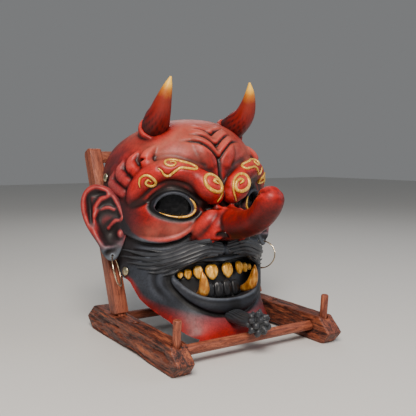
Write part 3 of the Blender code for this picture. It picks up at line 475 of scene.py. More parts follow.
def paintedResin():
    # Cast polyurethane resin, airbrushed red over black and rubbed with a dark smoky wash: satin,
    # finely speckled, lighter on what stands out and darker in the grooves: partly that wash,
    # partly painted highlight and painted shade.
    mat, tree, shader = newMaterial("washedRedResin")
    spot = addNode(tree, "ShaderNodeTexCoord").outputs["Object"]
    paint = addNode(tree, "ShaderNodeAttribute", {"attribute_name": "paint"})
    split = addNode(tree, "ShaderNodeSeparateColor", links={"Color": paint.outputs["Color"]})
    redShare, relief, soot = split.outputs
    cloud = addNode(tree, "ShaderNodeTexNoise", {"Scale": 38.0, "Detail": 6.0, "Roughness": 0.62},
                    {"Vector": spot}).outputs["Fac"]
    speck = addNode(tree, "ShaderNodeTexNoise", {"Scale": 520.0, "Detail": 3.0, "Roughness": 0.7},
                    {"Vector": spot}).outputs["Fac"]
    mottle = addNode(tree, "ShaderNodeTexNoise", {"Scale": 150.0, "Detail": 5.0, "Roughness": 0.75},
                     {"Vector": spot}).outputs["Fac"]
    # lightness follows how far the skin stands out: partly the real wash, partly painted highlight
    # on ridges and painted shade in grooves
    level = mathNode(tree, "MULTIPLY_ADD", relief, 0.9)
    level.node.inputs[2].default_value = -0.12
    level = mathNode(tree, "ADD", level, mathNode(tree, "MULTIPLY", cloud, 0.32))
    red = ramp(tree, level, [
        (0.14, hexColour("#130505")), (0.30, hexColour("#400807")), (0.44, hexColour("#8b1412")),
        (0.60, hexColour("#bf221e")), (0.86, hexColour("#de5043"))])
    black = ramp(tree, level, [
        (0.18, hexColour("#08080a")), (0.36, hexColour("#1f2229")), (0.52, hexColour("#3e434d")),
        (0.85, hexColour("#697079"))])
    base = mixColour(tree, redShare, black, red)
    freckle = ramp(tree, mottle, [(0.46, grey(0.0)), (0.64, grey(1.0))])
    fine = ramp(tree, speck, [(0.50, grey(0.0)), (0.66, grey(1.0))])
    dirt = mathNode(tree, "MULTIPLY", mathNode(tree, "ADD", freckle, fine, True), 0.5)
    dirt = mathNode(tree, "MULTIPLY", dirt, mathNode(tree, "SUBTRACT", 1.25, relief, True))
    dirtTone = mixColour(tree, redShare, hexColour("#131317"), hexColour("#25100e"))
    base = mixColour(tree, dirt, base, dirtTone)
    smudge = addNode(tree, "ShaderNodeTexNoise", {"Scale": 30.0, "Detail": 7.0,
                                                  "Roughness": 0.7, "Distortion": 0.6},
                     {"Vector": spot}).outputs["Fac"]
    smudge = ramp(tree, smudge, [(0.47, grey(0.0)), (0.62, grey(0.48))])
    smudge = mathNode(tree, "MULTIPLY", smudge, mathNode(tree, "ADD", redShare, 0.25, True))
    smudgeTone = mixColour(tree, redShare, hexColour("#22232a"), hexColour("#2e1614"))
    base = mixColour(tree, smudge, base, smudgeTone)
    # a pale pink laid over the forehead and cheeks: mostly a painted highlight where the light
    # falls, with some dusting
    dustAndSheen = mathNode(tree, "MULTIPLY", paint.outputs["Alpha"],
                    ramp(tree, cloud, [(0.34, grey(0.25)), (0.62, grey(0.85))]))
    base = mixColour(tree, dustAndSheen, base, hexColour("#b0604f"))
    base = mixColour(tree, soot, base, hexColour("#231d1e"))
    tree.links.new(base, shader.inputs["Base Color"])
    rough = ramp(tree, mottle, [(0.3, grey(0.34)), (0.75, grey(0.52))])
    rough = mathNode(tree, "SUBTRACT", mathNode(tree, "ADD", rough, 0.14),
                     mathNode(tree, "MULTIPLY", redShare, 0.14))
    tree.links.new(rough, shader.inputs["Roughness"])
    shader.inputs["Specular IOR Level"].default_value = 0.3
    height = mathNode(tree, "ADD", mathNode(tree, "MULTIPLY", speck, 0.35), mottle)
    bump = addNode(tree, "ShaderNodeBump", {"Strength": 0.22, "Distance": 0.0006},
                   {"Height": height})
    tree.links.new(bump.outputs["Normal"], shader.inputs["Normal"])
    return mat


def antiqueGold(name, dark, light, tip):
    # Gold lacquer over resin with an umber wash: metallic, brushed streaks along each tooth.
    mat, tree, shader = newMaterial(name)
    spot = addNode(tree, "ShaderNodeTexCoord").outputs["Object"]
    turned = addNode(tree, "ShaderNodeMapping", {"Scale": (1.0, 1.0, 0.22)}, {"Vector": spot})
    streak = addNode(tree, "ShaderNodeTexNoise", {"Scale": 420.0, "Detail": 4.0},
                     {"Vector": turned.outputs["Vector"]}).outputs["Fac"]
    cloud = addNode(tree, "ShaderNodeTexNoise", {"Scale": 110.0, "Detail": 4.0},
                    {"Vector": spot}).outputs["Fac"]
    both = mathNode(tree, "MULTIPLY_ADD", streak, 0.5)
    both.node.inputs[2].default_value = 0.0
    both = mathNode(tree, "ADD", both, mathNode(tree, "MULTIPLY", cloud, 0.5))
    colour = ramp(tree, both, [(0.3, hexColour(dark)), (0.5, hexColour(light)),
                               (0.72, hexColour(tip))])
    tree.links.new(colour, shader.inputs["Base Color"])
    shader.inputs["Metallic"].default_value = 0.25
    tree.links.new(ramp(tree, streak, [(0.3, grey(0.26)), (0.7, grey(0.42))]),
                   shader.inputs["Roughness"])
    bump = addNode(tree, "ShaderNodeBump", {"Strength": 0.3, "Distance": 0.0005},
                   {"Height": streak})
    tree.links.new(bump.outputs["Normal"], shader.inputs["Normal"])
    return mat


def hornResin():
    # Cast resin horn: red fading to soot at the root, scored lines, gilded tip.
    mat, tree, shader = newMaterial("gildedHornResin")
    spot = addNode(tree, "ShaderNodeTexCoord").outputs["Object"]
    paint = addNode(tree, "ShaderNodeAttribute", {"attribute_name": "paint"})
    split = addNode(tree, "ShaderNodeSeparateColor", links={"Color": paint.outputs["Color"]})
    along, _, soot = split.outputs
    mottle = addNode(tree, "ShaderNodeTexNoise", {"Scale": 190.0, "Detail": 6.0,
                                                  "Roughness": 0.7}, {"Vector": spot})
    mottle = mottle.outputs["Fac"]
    place = mathNode(tree, "ADD", along, mathNode(tree, "MULTIPLY", mottle, 0.10))
    colour = ramp(tree, place, [
        (0.05, hexColour("#240605")), (0.28, hexColour("#520d0a")), (0.55, hexColour("#86150f")),
        (0.76, hexColour("#8a2b1a")), (0.86, hexColour("#c0701c")), (0.95, hexColour("#ffc438"))])
    dirt = mathNode(tree, "MULTIPLY", ramp(tree, mottle, [(0.45, grey(0)), (0.62, grey(1))]), 0.45)
    dirt = mathNode(tree, "MULTIPLY", dirt, mathNode(tree, "SUBTRACT", 0.95, along, True))
    colour = mixColour(tree, dirt, colour, hexColour("#2b0d0a"))
    colour = mixColour(tree, soot, colour, hexColour("#120706"))
    tree.links.new(colour, shader.inputs["Base Color"])
    shader.inputs["Roughness"].default_value = 0.42
    shader.inputs["Specular IOR Level"].default_value = 0.35
    bump = addNode(tree, "ShaderNodeBump", {"Strength": 0.2, "Distance": 0.0005},
                   {"Height": mottle})
    tree.links.new(bump.outputs["Normal"], shader.inputs["Normal"])
    return mat


def sootResin(name, dark, light, roughness, scale):
    # Resin painted blue-black and dry-brushed grey on what stands out.
    mat, tree, shader = newMaterial(name)
    spot = addNode(tree, "ShaderNodeTexCoord").outputs["Object"]
    cloud = addNode(tree, "ShaderNodeTexNoise", {"Scale": scale, "Detail": 6.0,
                                                 "Roughness": 0.65}, {"Vector": spot})
    cloud = cloud.outputs["Fac"]
    ridge = addNode(tree, "ShaderNodeNewGeometry").outputs["Pointiness"]
    lift = ramp(tree, ridge, [(0.46, grey(0.0)), (0.56, grey(1.0))])
    both = mathNode(tree, "MULTIPLY", mathNode(tree, "ADD", cloud, lift), 0.5)
    tree.links.new(ramp(tree, both, [(0.2, hexColour(dark)), (0.75, hexColour(light))]),
                   shader.inputs["Base Color"])
    shader.inputs["Roughness"].default_value = roughness
    bump = addNode(tree, "ShaderNodeBump", {"Strength": 0.25, "Distance": 0.0005},
                   {"Height": cloud})
    tree.links.new(bump.outputs["Normal"], shader.inputs["Normal"])
    return mat


def darkEyeShadeSheet():
    # A nearly black, glossy sheet with faint scuffs behind each eye hole: painted shade, standing
    # in for the dark seen through the open eyes.
    mat, tree, shader = newMaterial("darkEyeShadeSheet")
    spot = addNode(tree, "ShaderNodeTexCoord").outputs["Object"]
    scuff = addNode(tree, "ShaderNodeTexNoise", {"Scale": 260.0, "Detail": 4.0},
                    {"Vector": spot}).outputs["Fac"]
    tree.links.new(ramp(tree, scuff, [(0.3, hexColour("#08080a")), (0.8, hexColour("#141417"))]),
                   shader.inputs["Base Color"])
    tree.links.new(ramp(tree, scuff, [(0.4, grey(0.10)), (0.8, grey(0.22))]),
                   shader.inputs["Roughness"])
    shader.inputs["IOR"].default_value = 1.49
    return mat


def platedMetal(name, dark, light, roughness, scale):
    # Plated wire and rivet caps: metal with fine scratches and slight tarnish.
    mat, tree, shader = newMaterial(name)
    spot = addNode(tree, "ShaderNodeTexCoord").outputs["Object"]
    tarnish = addNode(tree, "ShaderNodeTexNoise", {"Scale": scale, "Detail": 5.0},
                      {"Vector": spot}).outputs["Fac"]
    tree.links.new(ramp(tree, tarnish, [(0.35, hexColour(dark)), (0.65, hexColour(light))]),
                   shader.inputs["Base Color"])
    shader.inputs["Metallic"].default_value = 1.0
    tree.links.new(ramp(tree, tarnish, [(0.3, grey(roughness + 0.15)), (0.7, grey(roughness))]),
                   shader.inputs["Roughness"])
    return mat


def wovenElastic():
    # Woven polyester elastic, 1.2 mm ribs drawn as coarse as they need to show.
    mat, tree, shader = newMaterial("wovenElastic")
    spot = addNode(tree, "ShaderNodeTexCoord").outputs["Object"]
    ribs = addNode(tree, "ShaderNodeTexWave", {"Scale": 260.0, "Distortion": 0.6,
                                               "bands_direction": "Z"}, {"Vector": spot})
    cross = addNode(tree, "ShaderNodeTexWave", {"Scale": 200.0, "bands_direction": "X"},
                    {"Vector": spot})
    both = mathNode(tree, "MULTIPLY", ribs.outputs["Fac"], cross.outputs["Fac"])
    tree.links.new(ramp(tree, both, [(0.0, hexColour("#0c0c0d")), (1.0, hexColour("#2b2b2e"))]),
                   shader.inputs["Base Color"])
    shader.inputs["Roughness"].default_value = 0.85
    bump = addNode(tree, "ShaderNodeBump", {"Strength": 0.6, "Distance": 0.0006},
                   {"Height": both})
    tree.links.new(bump.outputs["Normal"], shader.inputs["Normal"])
    return mat


def grainedWood(name, axis, stops, grain, bumpDepth, turn=0.0, pores=0.5):
    # Oiled wenge-like hardwood: long dark pores in a warm ground, grain 0.5 to 3 mm across.
    mat, tree, shader = newMaterial(name)
    spot = addNode(tree, "ShaderNodeTexCoord").outputs["Object"]
    stretch = {"X": (0.09, 1, 1), "Y": (1, 0.09, 1), "Z": (1, 1, 0.09)}[axis]
    upright = addNode(tree, "ShaderNodeMapping", {"Rotation": (turn, 0.0, 0.0)}, {"Vector": spot})
    turned = addNode(tree, "ShaderNodeMapping", {"Scale": stretch},
                     {"Vector": upright.outputs["Vector"]}).outputs["Vector"]
    warp = addNode(tree, "ShaderNodeTexNoise", {"Scale": grain * 0.35, "Detail": 3.0},
                   {"Vector": turned}).outputs["Color"]
    bent = mixColour(tree, 0.035, turned, warp)
    broad = addNode(tree, "ShaderNodeTexNoise", {"Scale": grain, "Detail": 8.0,
                                                 "Roughness": 0.68}, {"Vector": bent})
    broad = broad.outputs["Fac"]
    fine = addNode(tree, "ShaderNodeTexNoise", {"Scale": grain * 5.5, "Detail": 6.0,
                                                "Roughness": 0.75}, {"Vector": bent})
    fine = fine.outputs["Fac"]
    both = mathNode(tree, "MULTIPLY_ADD", broad, 0.62)
    both.node.inputs[2].default_value = 0.0
    both = mathNode(tree, "ADD", both, mathNode(tree, "MULTIPLY", fine, 0.38))
    colour = ramp(tree, both, [(place, hexColour(tone)) for place, tone in stops])
    pore = ramp(tree, fine, [(0.36, grey(1.0)), (0.46, grey(0.0))])
    colour = mixColour(tree, mathNode(tree, "MULTIPLY", pore, pores), colour,
                       hexColour("#1a0906"))
    tree.links.new(colour, shader.inputs["Base Color"])
    tree.links.new(ramp(tree, fine, [(0.3, grey(0.62)), (0.7, grey(0.42))]),
                   shader.inputs["Roughness"])
    bump = addNode(tree, "ShaderNodeBump", {"Strength": 0.55, "Distance": bumpDepth},
                   {"Height": both})
    tree.links.new(bump.outputs["Normal"], shader.inputs["Normal"])
    return mat


warmStops = [(0.34, "#321309"), (0.44, "#6b3220"), (0.53, "#975139"), (0.66, "#bd7453")]
barkStops = [(0.38, "#0e0504"), (0.45, "#2e110a"), (0.51, "#6d3320"), (0.60, "#a35a39")]
postLean = math.radians(21.4)
resin = paintedResin()
hornMat = hornResin()
gold = antiqueGold("antiqueGoldLacquer", "#94560f", "#fbb53a", "#ffeba6")
goldLine = antiqueGold("gildedLine", "#a8701f", "#e2ab3f", "#ffe08a")
tuskGold = antiqueGold("umberGoldLacquer", "#6a340b", "#c98029", "#f8cd6c")
gumMat = sootResin("blackGumResin", "#050506", "#26272b", 0.38, 160.0)
tuftMat = sootResin("dryBrushedBlackResin", "#0a0b0c", "#3d4046", 0.42, 120.0)
eyeShadeSheetMat = darkEyeShadeSheet()
rivetMat = platedMetal("agedNickelBrass", "#8f8462", "#e2dcc0", 0.28, 300.0)
hoopMat = platedMetal("paleGoldPlate", "#b59a72", "#f4e6cc", 0.16, 500.0)
elasticMat = wovenElastic()
postMat = grainedWood("oiledWengePost", "Z", warmStops, 210.0, 0.0006, turn=postLean)
dowelMat = grainedWood("oiledWengeDowel", "X", warmStops, 230.0, 0.0005)
pegMat = grainedWood("oiledWengePeg", "Z", warmStops, 230.0, 0.0005, pores=0.7)
barkMat = grainedWood("liveEdgeWenge", "Y", barkStops, 170.0, 0.0014, pores=0.75)


def finishPiece(ob, body, mat, nodes=(), angle=40):
    ob.data.materials.clear()
    ob.data.materials.append(mat)
    pick(ob)
    bpy.ops.object.shade_smooth_by_angle(angle=math.radians(angle))
    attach(ob, body)
    if nodes:
        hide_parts(*nodes)
    return ob


# sculpting on the points of a dense skin
def strokeField(pts, line, radius):
    line = np.asarray(line, float)
    low = line.min(0) - radius
    high = line.max(0) + radius
    near = np.where(np.all((pts > low) & (pts < high), axis=1))[0]
    best = np.full(len(near), 1e9)
    along = np.zeros(len(near))
    if len(near) == 0:
        return near, best, along
    sub = pts[near]
    lengths = np.linalg.norm(np.diff(line, axis=0), axis=1)
    total = max(lengths.sum(), 1e-9)
    start = 0.0
    for a, b, length in zip(line[:-1], line[1:], lengths):
        way = b - a
        t = np.clip(((sub - a) @ way) / max(way @ way, 1e-12), 0, 1)
        gap = np.linalg.norm(sub - (a + t[:, None] * way), axis=1)
        closer = gap < best
        best[closer] = gap[closer]
        along[closer] = (start + t[closer] * length) / total
        start += length
    return near, best, along


def press(pts, normals, line, radius, height, sharp=2.0, taper=(0.0, 0.0)):
    near, gap, along = strokeField(pts, line, radius)
    share = np.clip(1 - gap / radius, 0, 1)
    shape = share * share * (3 - 2 * share) if sharp == 2.0 else share ** sharp
    if taper[0] > 0:
        shape = shape * np.clip(along / taper[0], 0, 1)
    if taper[1] > 0:
        shape = shape * np.clip((1 - along) / taper[1], 0, 1)
    pts[near] += normals[near] * (height * shape)[:, None]


class FaceSkin:
    # the dense skin in the mask's own millimetres, and places found on it
    def __init__(self, ob):
        self.ob = ob
        self.pts = ownMillimetres(coords(ob))
        self.refresh()

    def refresh(self):
        setCoords(self.ob, placed(self.pts))
        self.normals = vertexNormals(self.ob) @ toRow[:3, :3]
        self.tree = None

    def bvh(self):
        if self.tree is None:
            polys = [tuple(p.vertices) for p in self.ob.data.polygons]
            self.tree = BVHTree.FromPolygons([tuple(p) for p in self.pts], polys)
        return self.tree

    def front(self, x, z):
        hit = self.bvh().ray_cast(Vector((x, -260, z)), Vector((0, 1, 0)))
        return np.array(hit[0]) if hit[0] is not None else facePoint(x, z)

    def nearest(self, point):
        hit = self.bvh().find_nearest(Vector(point))
        return np.array(hit[0])

    def line(self, flat, side=1, steps=4):
        rows = curveThrough([(x * side, z) for x, z in flat], steps)
        return np.array([self.nearest(self.frontOrSide(x, z)) for x, z in rows])

    def frontOrSide(self, x, z):
        if abs(x) < 84:
            return self.front(x, z)
        return facePoint(x, z)

    def patchLine(self, centre, flat):
        # flat points round a centre, laid on the skin along the way it faces there
        middle = self.nearest(centre)
        near = np.linalg.norm(self.pts - middle, axis=1) < 9
        out = self.normals[near].mean(0)
        out /= np.linalg.norm(out)
        right = np.cross(np.array([0, 0, 1.0]), out)
        right /= np.linalg.norm(right)
        up = np.cross(out, right)
        found = []
        for a, b in flat:
            start = middle + right * a + up * b + out * 28
            hit = self.bvh().ray_cast(Vector(start), Vector(-out))
            found.append(np.array(hit[0]) if hit[0] is not None else start - out * 28)
        return np.array(found), out


sculptLines = {
    "chevrons": [[(0, 209), (-9, 219), (-20, 228), (-32, 233), (-44, 234)],
                 [(0, 226), (-9, 234), (-19, 240), (-31, 243)],
                 [(0, 242), (-8, 248), (-16, 251), (-25, 252.5)]],
    "midGroove": [(0, 172), (0, 184), (0, 197), (0, 209)],
    "browUnder": [(-4, 152), (-14, 150), (-26, 154), (-36, 165), (-48, 176), (-62, 182),
                  (-74, 177), (-84, 167), (-93, 164)],
    "browOver": [(-6, 196), (-22, 203), (-38, 210), (-55, 218), (-74, 218), (-88, 208),
                 (-98, 195)],
    "moustacheHairs": [
        [(-3, 108), (-20, 112), (-40, 111), (-60, 107), (-78, 110), (-92, 116)],
        [(-3, 104), (-22, 108), (-42, 106), (-60, 102), (-78, 104), (-93, 111)],
        [(-4, 100), (-22, 103), (-42, 101), (-60, 97), (-76, 99), (-90, 105)],
        [(-5, 97), (-24, 99), (-44, 97), (-60, 92.5), (-74, 94), (-87, 99)],
    ],
    "mouthFold": [(-62, 84), (-66, 74), (-62, 62), (-50, 46), (-36, 34), (-20, 26), (0, 24)],
    "lipFold": [(-58, 76), (-56, 68), (-46, 55), (-33, 46.5), (-16, 43), (0, 42)],
    "cheekFold": [(-70, 96), (-78, 84), (-78, 68), (-66, 48)],
}


def buildSkin():
    parts = [headGrid("skin", 0.0, 320, 300, True)]
    for side in (-1, 1):
        for name in ("brow", "wing", "nostril", "moustache", "lowerLip", "foreheadLobe"):
            parts.append(reliefTube(reliefForms[name], side))
        rows = curveThrough(horn["line"], 4)
        ring = rows[:6]
        swell = np.interp(np.arange(6), [0, 2, 4, 5], horn["collar"])
        path = [(x * side, y, z) for x, y, z, _ in ring]
        parts.append(tube("collar", path, ring[:, 3] + swell, 28, roundEnds=False))
        for flame in flames:
            rows = curveThrough(flame, 4)
            path = [facePoint(x * side, z, inset) for x, z, inset, _ in rows]
            parts.append(tube("flame", path, rows[:, 3], 12))
    rows = curveThrough(reliefForms["nose"], 6)
    parts.append(tube("nose", [(0, y, z) for y, z, _ in rows], rows[:, 2], 32))
    skin = joined(parts, "mask_face")
    useModifier(skin, "REMESH", mode="VOXEL", voxel_size=headForm["voxel"] / 1000)
    useModifier(skin, "SMOOTH", factor=0.5, iterations=6)
    return skin


horn = {
    "line": [(51, -3, 246, 12.5), (55.5, -17, 258.5, 16.5), (59.5, -33, 265.5, 15.8),
             (61.6, -47, 271.5, 13), (61.5, -58.3, 281.7, 9.8), (59.5, -68, 294, 5.8),
             (57, -73.6, 304, 1.6)],
    "sides": 48,
    "steps": 14,
    "grooves": 16,
    "grooveDepth": 0.0007,
    "collar": [1.5, 3.8, 4.0, 3.2],                # how far the collar stands off the horn
}
flames = [
    # x, height, inset, radius of the tufts behind the brow
    [(77, 207, 1, 8.5), (78, 216, 0, 9), (75, 224, 0, 7.5), (69, 231, 0, 3.5)],
    [(86, 203, 1, 8.5), (89, 212, 0, 8.5), (88, 221, 0, 6.5), (83, 229, 0, 2.5)],
    [(93, 196, 1, 8.5), (96, 205, 0, 8), (96, 214, 0, 6.5), (93, 224, 0, 2)],
    [(96, 185, 1, 7.5), (99.5, 194, 0, 7.5), (100.5, 204, 0, 6), (99, 214, 0, 2)],
]
scrolls = {
    # middle of each gilded band, its flat shape round that (towards the nose, up), half width
    "inner": {"centre": (19, -80, 177.5), "wide": 1.85, "line": [
        (7.4, -18.5), (10.3, -13.2), (11.5, -7.2), (10.6, 0), (7.2, 6), (2.4, 10), (-3.1, 11.4),
        (-8.5, 9.6), (-11.2, 5.4), (-11.3, 0), (-8.5, -5.4), (-3.8, -9.1), (2.4, -10.9),
        (7.6, -9.1), (9.0, -4.9), (7.3, 0), (4.1, 2.7), (0.5, 3.4), (-1.6, 1.6), (0.2, -0.5),
        (3.2, -2)]},
    "middle": {"centre": (56, -61, 205), "wide": 1.45, "line": [
        (-7.6, 4), (-4.2, 4.5), (-1.8, 2.1), (-3.6, -0.9), (-8.1, -1.5), (-12.2, 0.9),
        (-13.9, 4.5), (-11.8, 8), (-6.3, 9.1), (0, 7.6), (4.9, 4.7), (10, 3.1), (17.2, 1.5),
        (21.7, -1.5), (22.3, -5.5), (19, -7.4), (10, -6.5), (2.7, -5.5), (-3.6, -7.6),
        (-10.9, -9.1), (-16.4, -7.3), (-19, -4), (-22.3, -0.3)]},
    "outer": {"centre": (87, -38, 188.5), "wide": 1.45, "line": [
        (-10, -5), (-10, 0), (-7.4, 5), (-1, 7.6), (4.2, 6), (8.4, 0.9), (9, -3.6), (5.2, -6.8),
        (0, -5), (-2.1, -1.3), (1, 1.8), (4.2, -0.5)]},
}


def sculptFace(skin):
    face = FaceSkin(skin)
    for side in (-1, 1):
        mirror = -side
        # eye socket sinks between brow and cheek
        socket = face.front(-56 * mirror, 160)
        gap = np.linalg.norm((face.pts - socket) / np.array([1.25, 1, 0.85]), axis=1)
        share = np.clip(1 - gap / 34, 0, 1)
        face.pts -= face.normals * (3.2 * share * share)[:, None]
    face.refresh()
    for side in (-1, 1):
        mirror = -side
        for chevron in sculptLines["chevrons"]:
            line = face.line(chevron, mirror)
            press(face.pts, face.normals, line + np.array([0, 0, 5.0]), 5.5, 1.5,
                  taper=(0.0, 0.6))
            press(face.pts, face.normals, line, 2.8, -4.4, 1.2, (0.0, 0.5))
        press(face.pts, face.normals, face.line(sculptLines["browUnder"], mirror), 5.5, -3.2, 1.5,
              (0.1, 0.1))
        press(face.pts, face.normals, face.line(sculptLines["browOver"], mirror), 6.0, -1.0, 1.5,
              (0.1, 0.1))
    press(face.pts, face.normals, face.line(sculptLines["midGroove"]), 4.0, -3.6, 1.3, (0.2, 0.0))
    face.refresh()
    for side in (-1, 1):
        mirror = -side
        for hair in sculptLines["moustacheHairs"]:
            line = face.line(hair, mirror)
            press(face.pts, face.normals, line, 2.6, -1.9, 1.2, (0.05, 0.0))
            press(face.pts, face.normals, line + np.array([0, 0, 2.3]), 2.4, 0.9, 2.0,
                  (0.1, 0.1))
        press(face.pts, face.normals, face.line(sculptLines["mouthFold"], mirror), 4.5, -2.2, 1.3,
              (0.1, 0.25))
        press(face.pts, face.normals, face.line(sculptLines["lipFold"], mirror), 3.2, 1.6, 2.0,
              (0.1, 0.0))
        press(face.pts, face.normals, face.line(sculptLines["cheekFold"], mirror), 7.0, -1.6, 2.0,
              (0.3, 0.3))
        hole = face.nearest((17 * side, -74, 112))
        press(face.pts, face.normals, [hole, hole + np.array([6 * side, 3, 1])], 6.5, -5.5, 1.2)
        # the cheek plate has a thick lip with a dark undercut below it
        rim = np.array([facePoint(a * side, b + 3.4, -headForm["cheekStep"])
                        for a, b in curveThrough(headForm["cheek"][3:-1], 5)])
        press(face.pts, face.normals, rim, 4.6, 1.9, 2.0, (0.15, 0.1))
        below = np.array([facePoint(a * side, b - 2.8)
                          for a, b in curveThrough(headForm["cheek"][3:-1], 5)])
        press(face.pts, face.normals, below, 3.6, -1.8, 1.6, (0.15, 0.1))
        # lids: a rolled rim round the opening and a soft trench outside it
        ring = np.array(headForm["eye"], float)
        middle = ring.mean(0)
        closed = np.vstack([ring, ring[:1]])
        for grow, radius, height in ((1.10, 3.4, 2.6), (1.42, 4.2, -1.8)):
            flat = middle + (closed - middle) * grow
            line = np.array([face.front(x * mirror, z) for x, z in curveThrough(flat, 4)])
            press(face.pts, face.normals, line, radius, height)
    # a rolled edge round the mouth
    ring = np.array(headForm["mouth"], float)
    closed = np.vstack([ring, ring[:1]])
    flat = np.array([0, 70]) + (closed - np.array([0, 70])) * np.array([1.045, 1.12])
    line = np.array([face.front(x, z) for x, z in curveThrough(flat, 3)])
    press(face.pts, face.normals, line, 4.2, 1.4)
    # dents where the scrolls lie, so that each sits in a dark outline
    for spot in scrolls.values():
        for side in (-1, 1):
            line, _ = scrollLine(face, spot, side)
            press(face.pts, face.normals, line, 3.8, -1.5, 1.6)
    face.pts = relaxed(face.pts, edgePairs(skin), 2)
    face.refresh()
    return face


def scrollLine(face, spot, side):
    x, y, z = spot["centre"]
    flat = [(-side * a, b) for a, b in spot["line"]]
    return face.patchLine((x * side, y, z), curveThrough(flat, 5))


moustache = {
    # x, height and radius of each lock, from the middle out to its tip
    "locks": [
        [(5, 110, 1.5), (22, 113.5, 3.0), (42, 112, 3.6), (62, 106, 3.4), (79, 106.5, 2.6),
         (90, 112.5, 1.7), (98.5, 121, 0.3)],
        [(4, 107, 2), (22, 110, 3.8), (42, 107.5, 4.2), (62, 102, 3.8), (79, 101, 2.9),
         (90, 105.5, 1.8), (98, 112.5, 0.3)],
        [(4, 103.5, 2), (24, 106, 4.2), (43, 102.5, 4.4), (61, 97.5, 4), (77, 95.5, 3),
         (87, 98, 1.9), (95.5, 103.5, 0.3)],
        [(6, 99.5, 2), (26, 101.5, 4), (44, 97.5, 4.4), (60, 93.5, 4), (73, 90.5, 3),
         (82, 91.5, 1.9), (90.5, 95.5, 0.3)],
        [(12, 96.5, 1.5), (29, 97.5, 3.4), (45, 93.5, 4), (58, 89.5, 3.6), (68, 86, 2.6),
         (76, 85.5, 1.7), (83.5, 87.5, 0.3)],
        [(24, 112.5, 1), (38, 114, 2.2), (54, 110, 2.4), (68, 108.5, 1.8), (82, 113.5, 0.3)],
        [(20, 95.5, 1), (34, 94.5, 2), (47, 90.5, 2.6), (55, 86.5, 2.4), (62, 82.5, 1.8),
         (71, 80.5, 0.3)],
    ],
    "lift": 3.6,
    "sink": 0.9,
}


def buildMoustache(face, side):
    locks = []
    for lock in moustache["locks"]:
        rows = curveThrough(lock, 7)
        # in the middle the nose hangs over the lip, so the lock is laid under it
        path = np.array([facePoint(x * side, z, -8.5) if x < 24
                         else face.nearest(face.frontOrSide(x * side, z)) for x, z, _ in rows])
        path[1:-1] = (path[:-2] + path[1:-1] + path[2:]) / 3
        inward = np.array([0, 40, 100]) - path
        inward[:, 2] = 0
        inward /= np.linalg.norm(inward, axis=1)[:, None]
        share = np.clip((np.linspace(0, 1, len(path)) - 0.62) / 0.38, 0, 1)[:, None] ** 1.5
        path = path + inward * (moustache["sink"] - moustache["lift"] * share)
        verts, faces = tubeParts(path, rows[:, 2], 18)
        pts = np.array([tuple(v) for v in verts])
        ring = np.arange(len(pts)) % 18
        # fine hair lines run the whole length of a lock
        middle = pts.reshape(-1, 18, 3).mean(1).repeat(18, 0)
        pts = middle + (pts - middle) * (1 + 0.07 * np.cos(ring * math.pi))[:, None]
        ob = meshObject("lock", placed(pts), faces)
        cleanNormals(ob)
        locks.append(ob)
    label = sideName(side)
    ob = joined(locks, "moustache_" + label)
    finishPiece(ob, "mask", tuftMat, angle=50)


def cutFace(face):
    skin = face.ob
    wall = headForm["wall"]
    inner = headGrid("inner", wall, 120, 100, False)
    rows = curveThrough(reliefForms["nose"], 4)
    bore = tube("bore", [(0, y, z) for y, z, _ in rows], rows[:, 2] - wall, 20)
    carve(inner, bore, "UNION")
    carve(skin, inner)
    edge = list(headForm["edge"]) + [(200, 300), (200, -40), (-36, -40)]
    carve(skin, prism("edge", edge, -150, 150, "X"))
    carve(skin, prism("mouth", headForm["mouth"], -90, 10, "Y"))
    for side in (-1, 1):
        centre = facePoint(-56, 159)
        way = facePoint(-56, 159, -1) - centre
        ring = curveThrough(headForm["eye"] + headForm["eye"][:1], 5)[:-1]
        verts = []
        for reach in (30, -30):
            for x, z in ring:
                point = facePoint(x, z)
                moved = point + way * (reach - float(np.dot(point - centre, way)))
                verts.append((moved[0] * -side, moved[1], moved[2]))
        count = len(ring)
        faces = [list(range(count)), list(range(2 * count - 1, count - 1, -1))]
        faces += [[k, (k + 1) % count, count + (k + 1) % count, count + k] for k in range(count)]
        tool = meshObject("eye", placed(verts), faces)
        cleanNormals(tool)
        carve(skin, tool)
    return skin


paintLook = {
    # how much darker (or smokier) each part is than its shape alone would make it
    "noseDeeper": 0.13,
    "lipDarker": 0.22,
    "lidDarker": 0.28,
    "hornSmoke": 0.34,
    "flameClean": 0.55,
    # the pale pink on the cheek plates and forehead is mostly a painted highlight where the light
    # from above falls
    "cheekDustAndSheen": 0.6,
    "dustAndSheenFrom": 196,                               # height where the forehead's pale pink painted highlight starts
    "jawFade": ([-8, 10, 30, 60, 90], [30, 28, 15, 8, 5]),    # height, width of the red fade
}


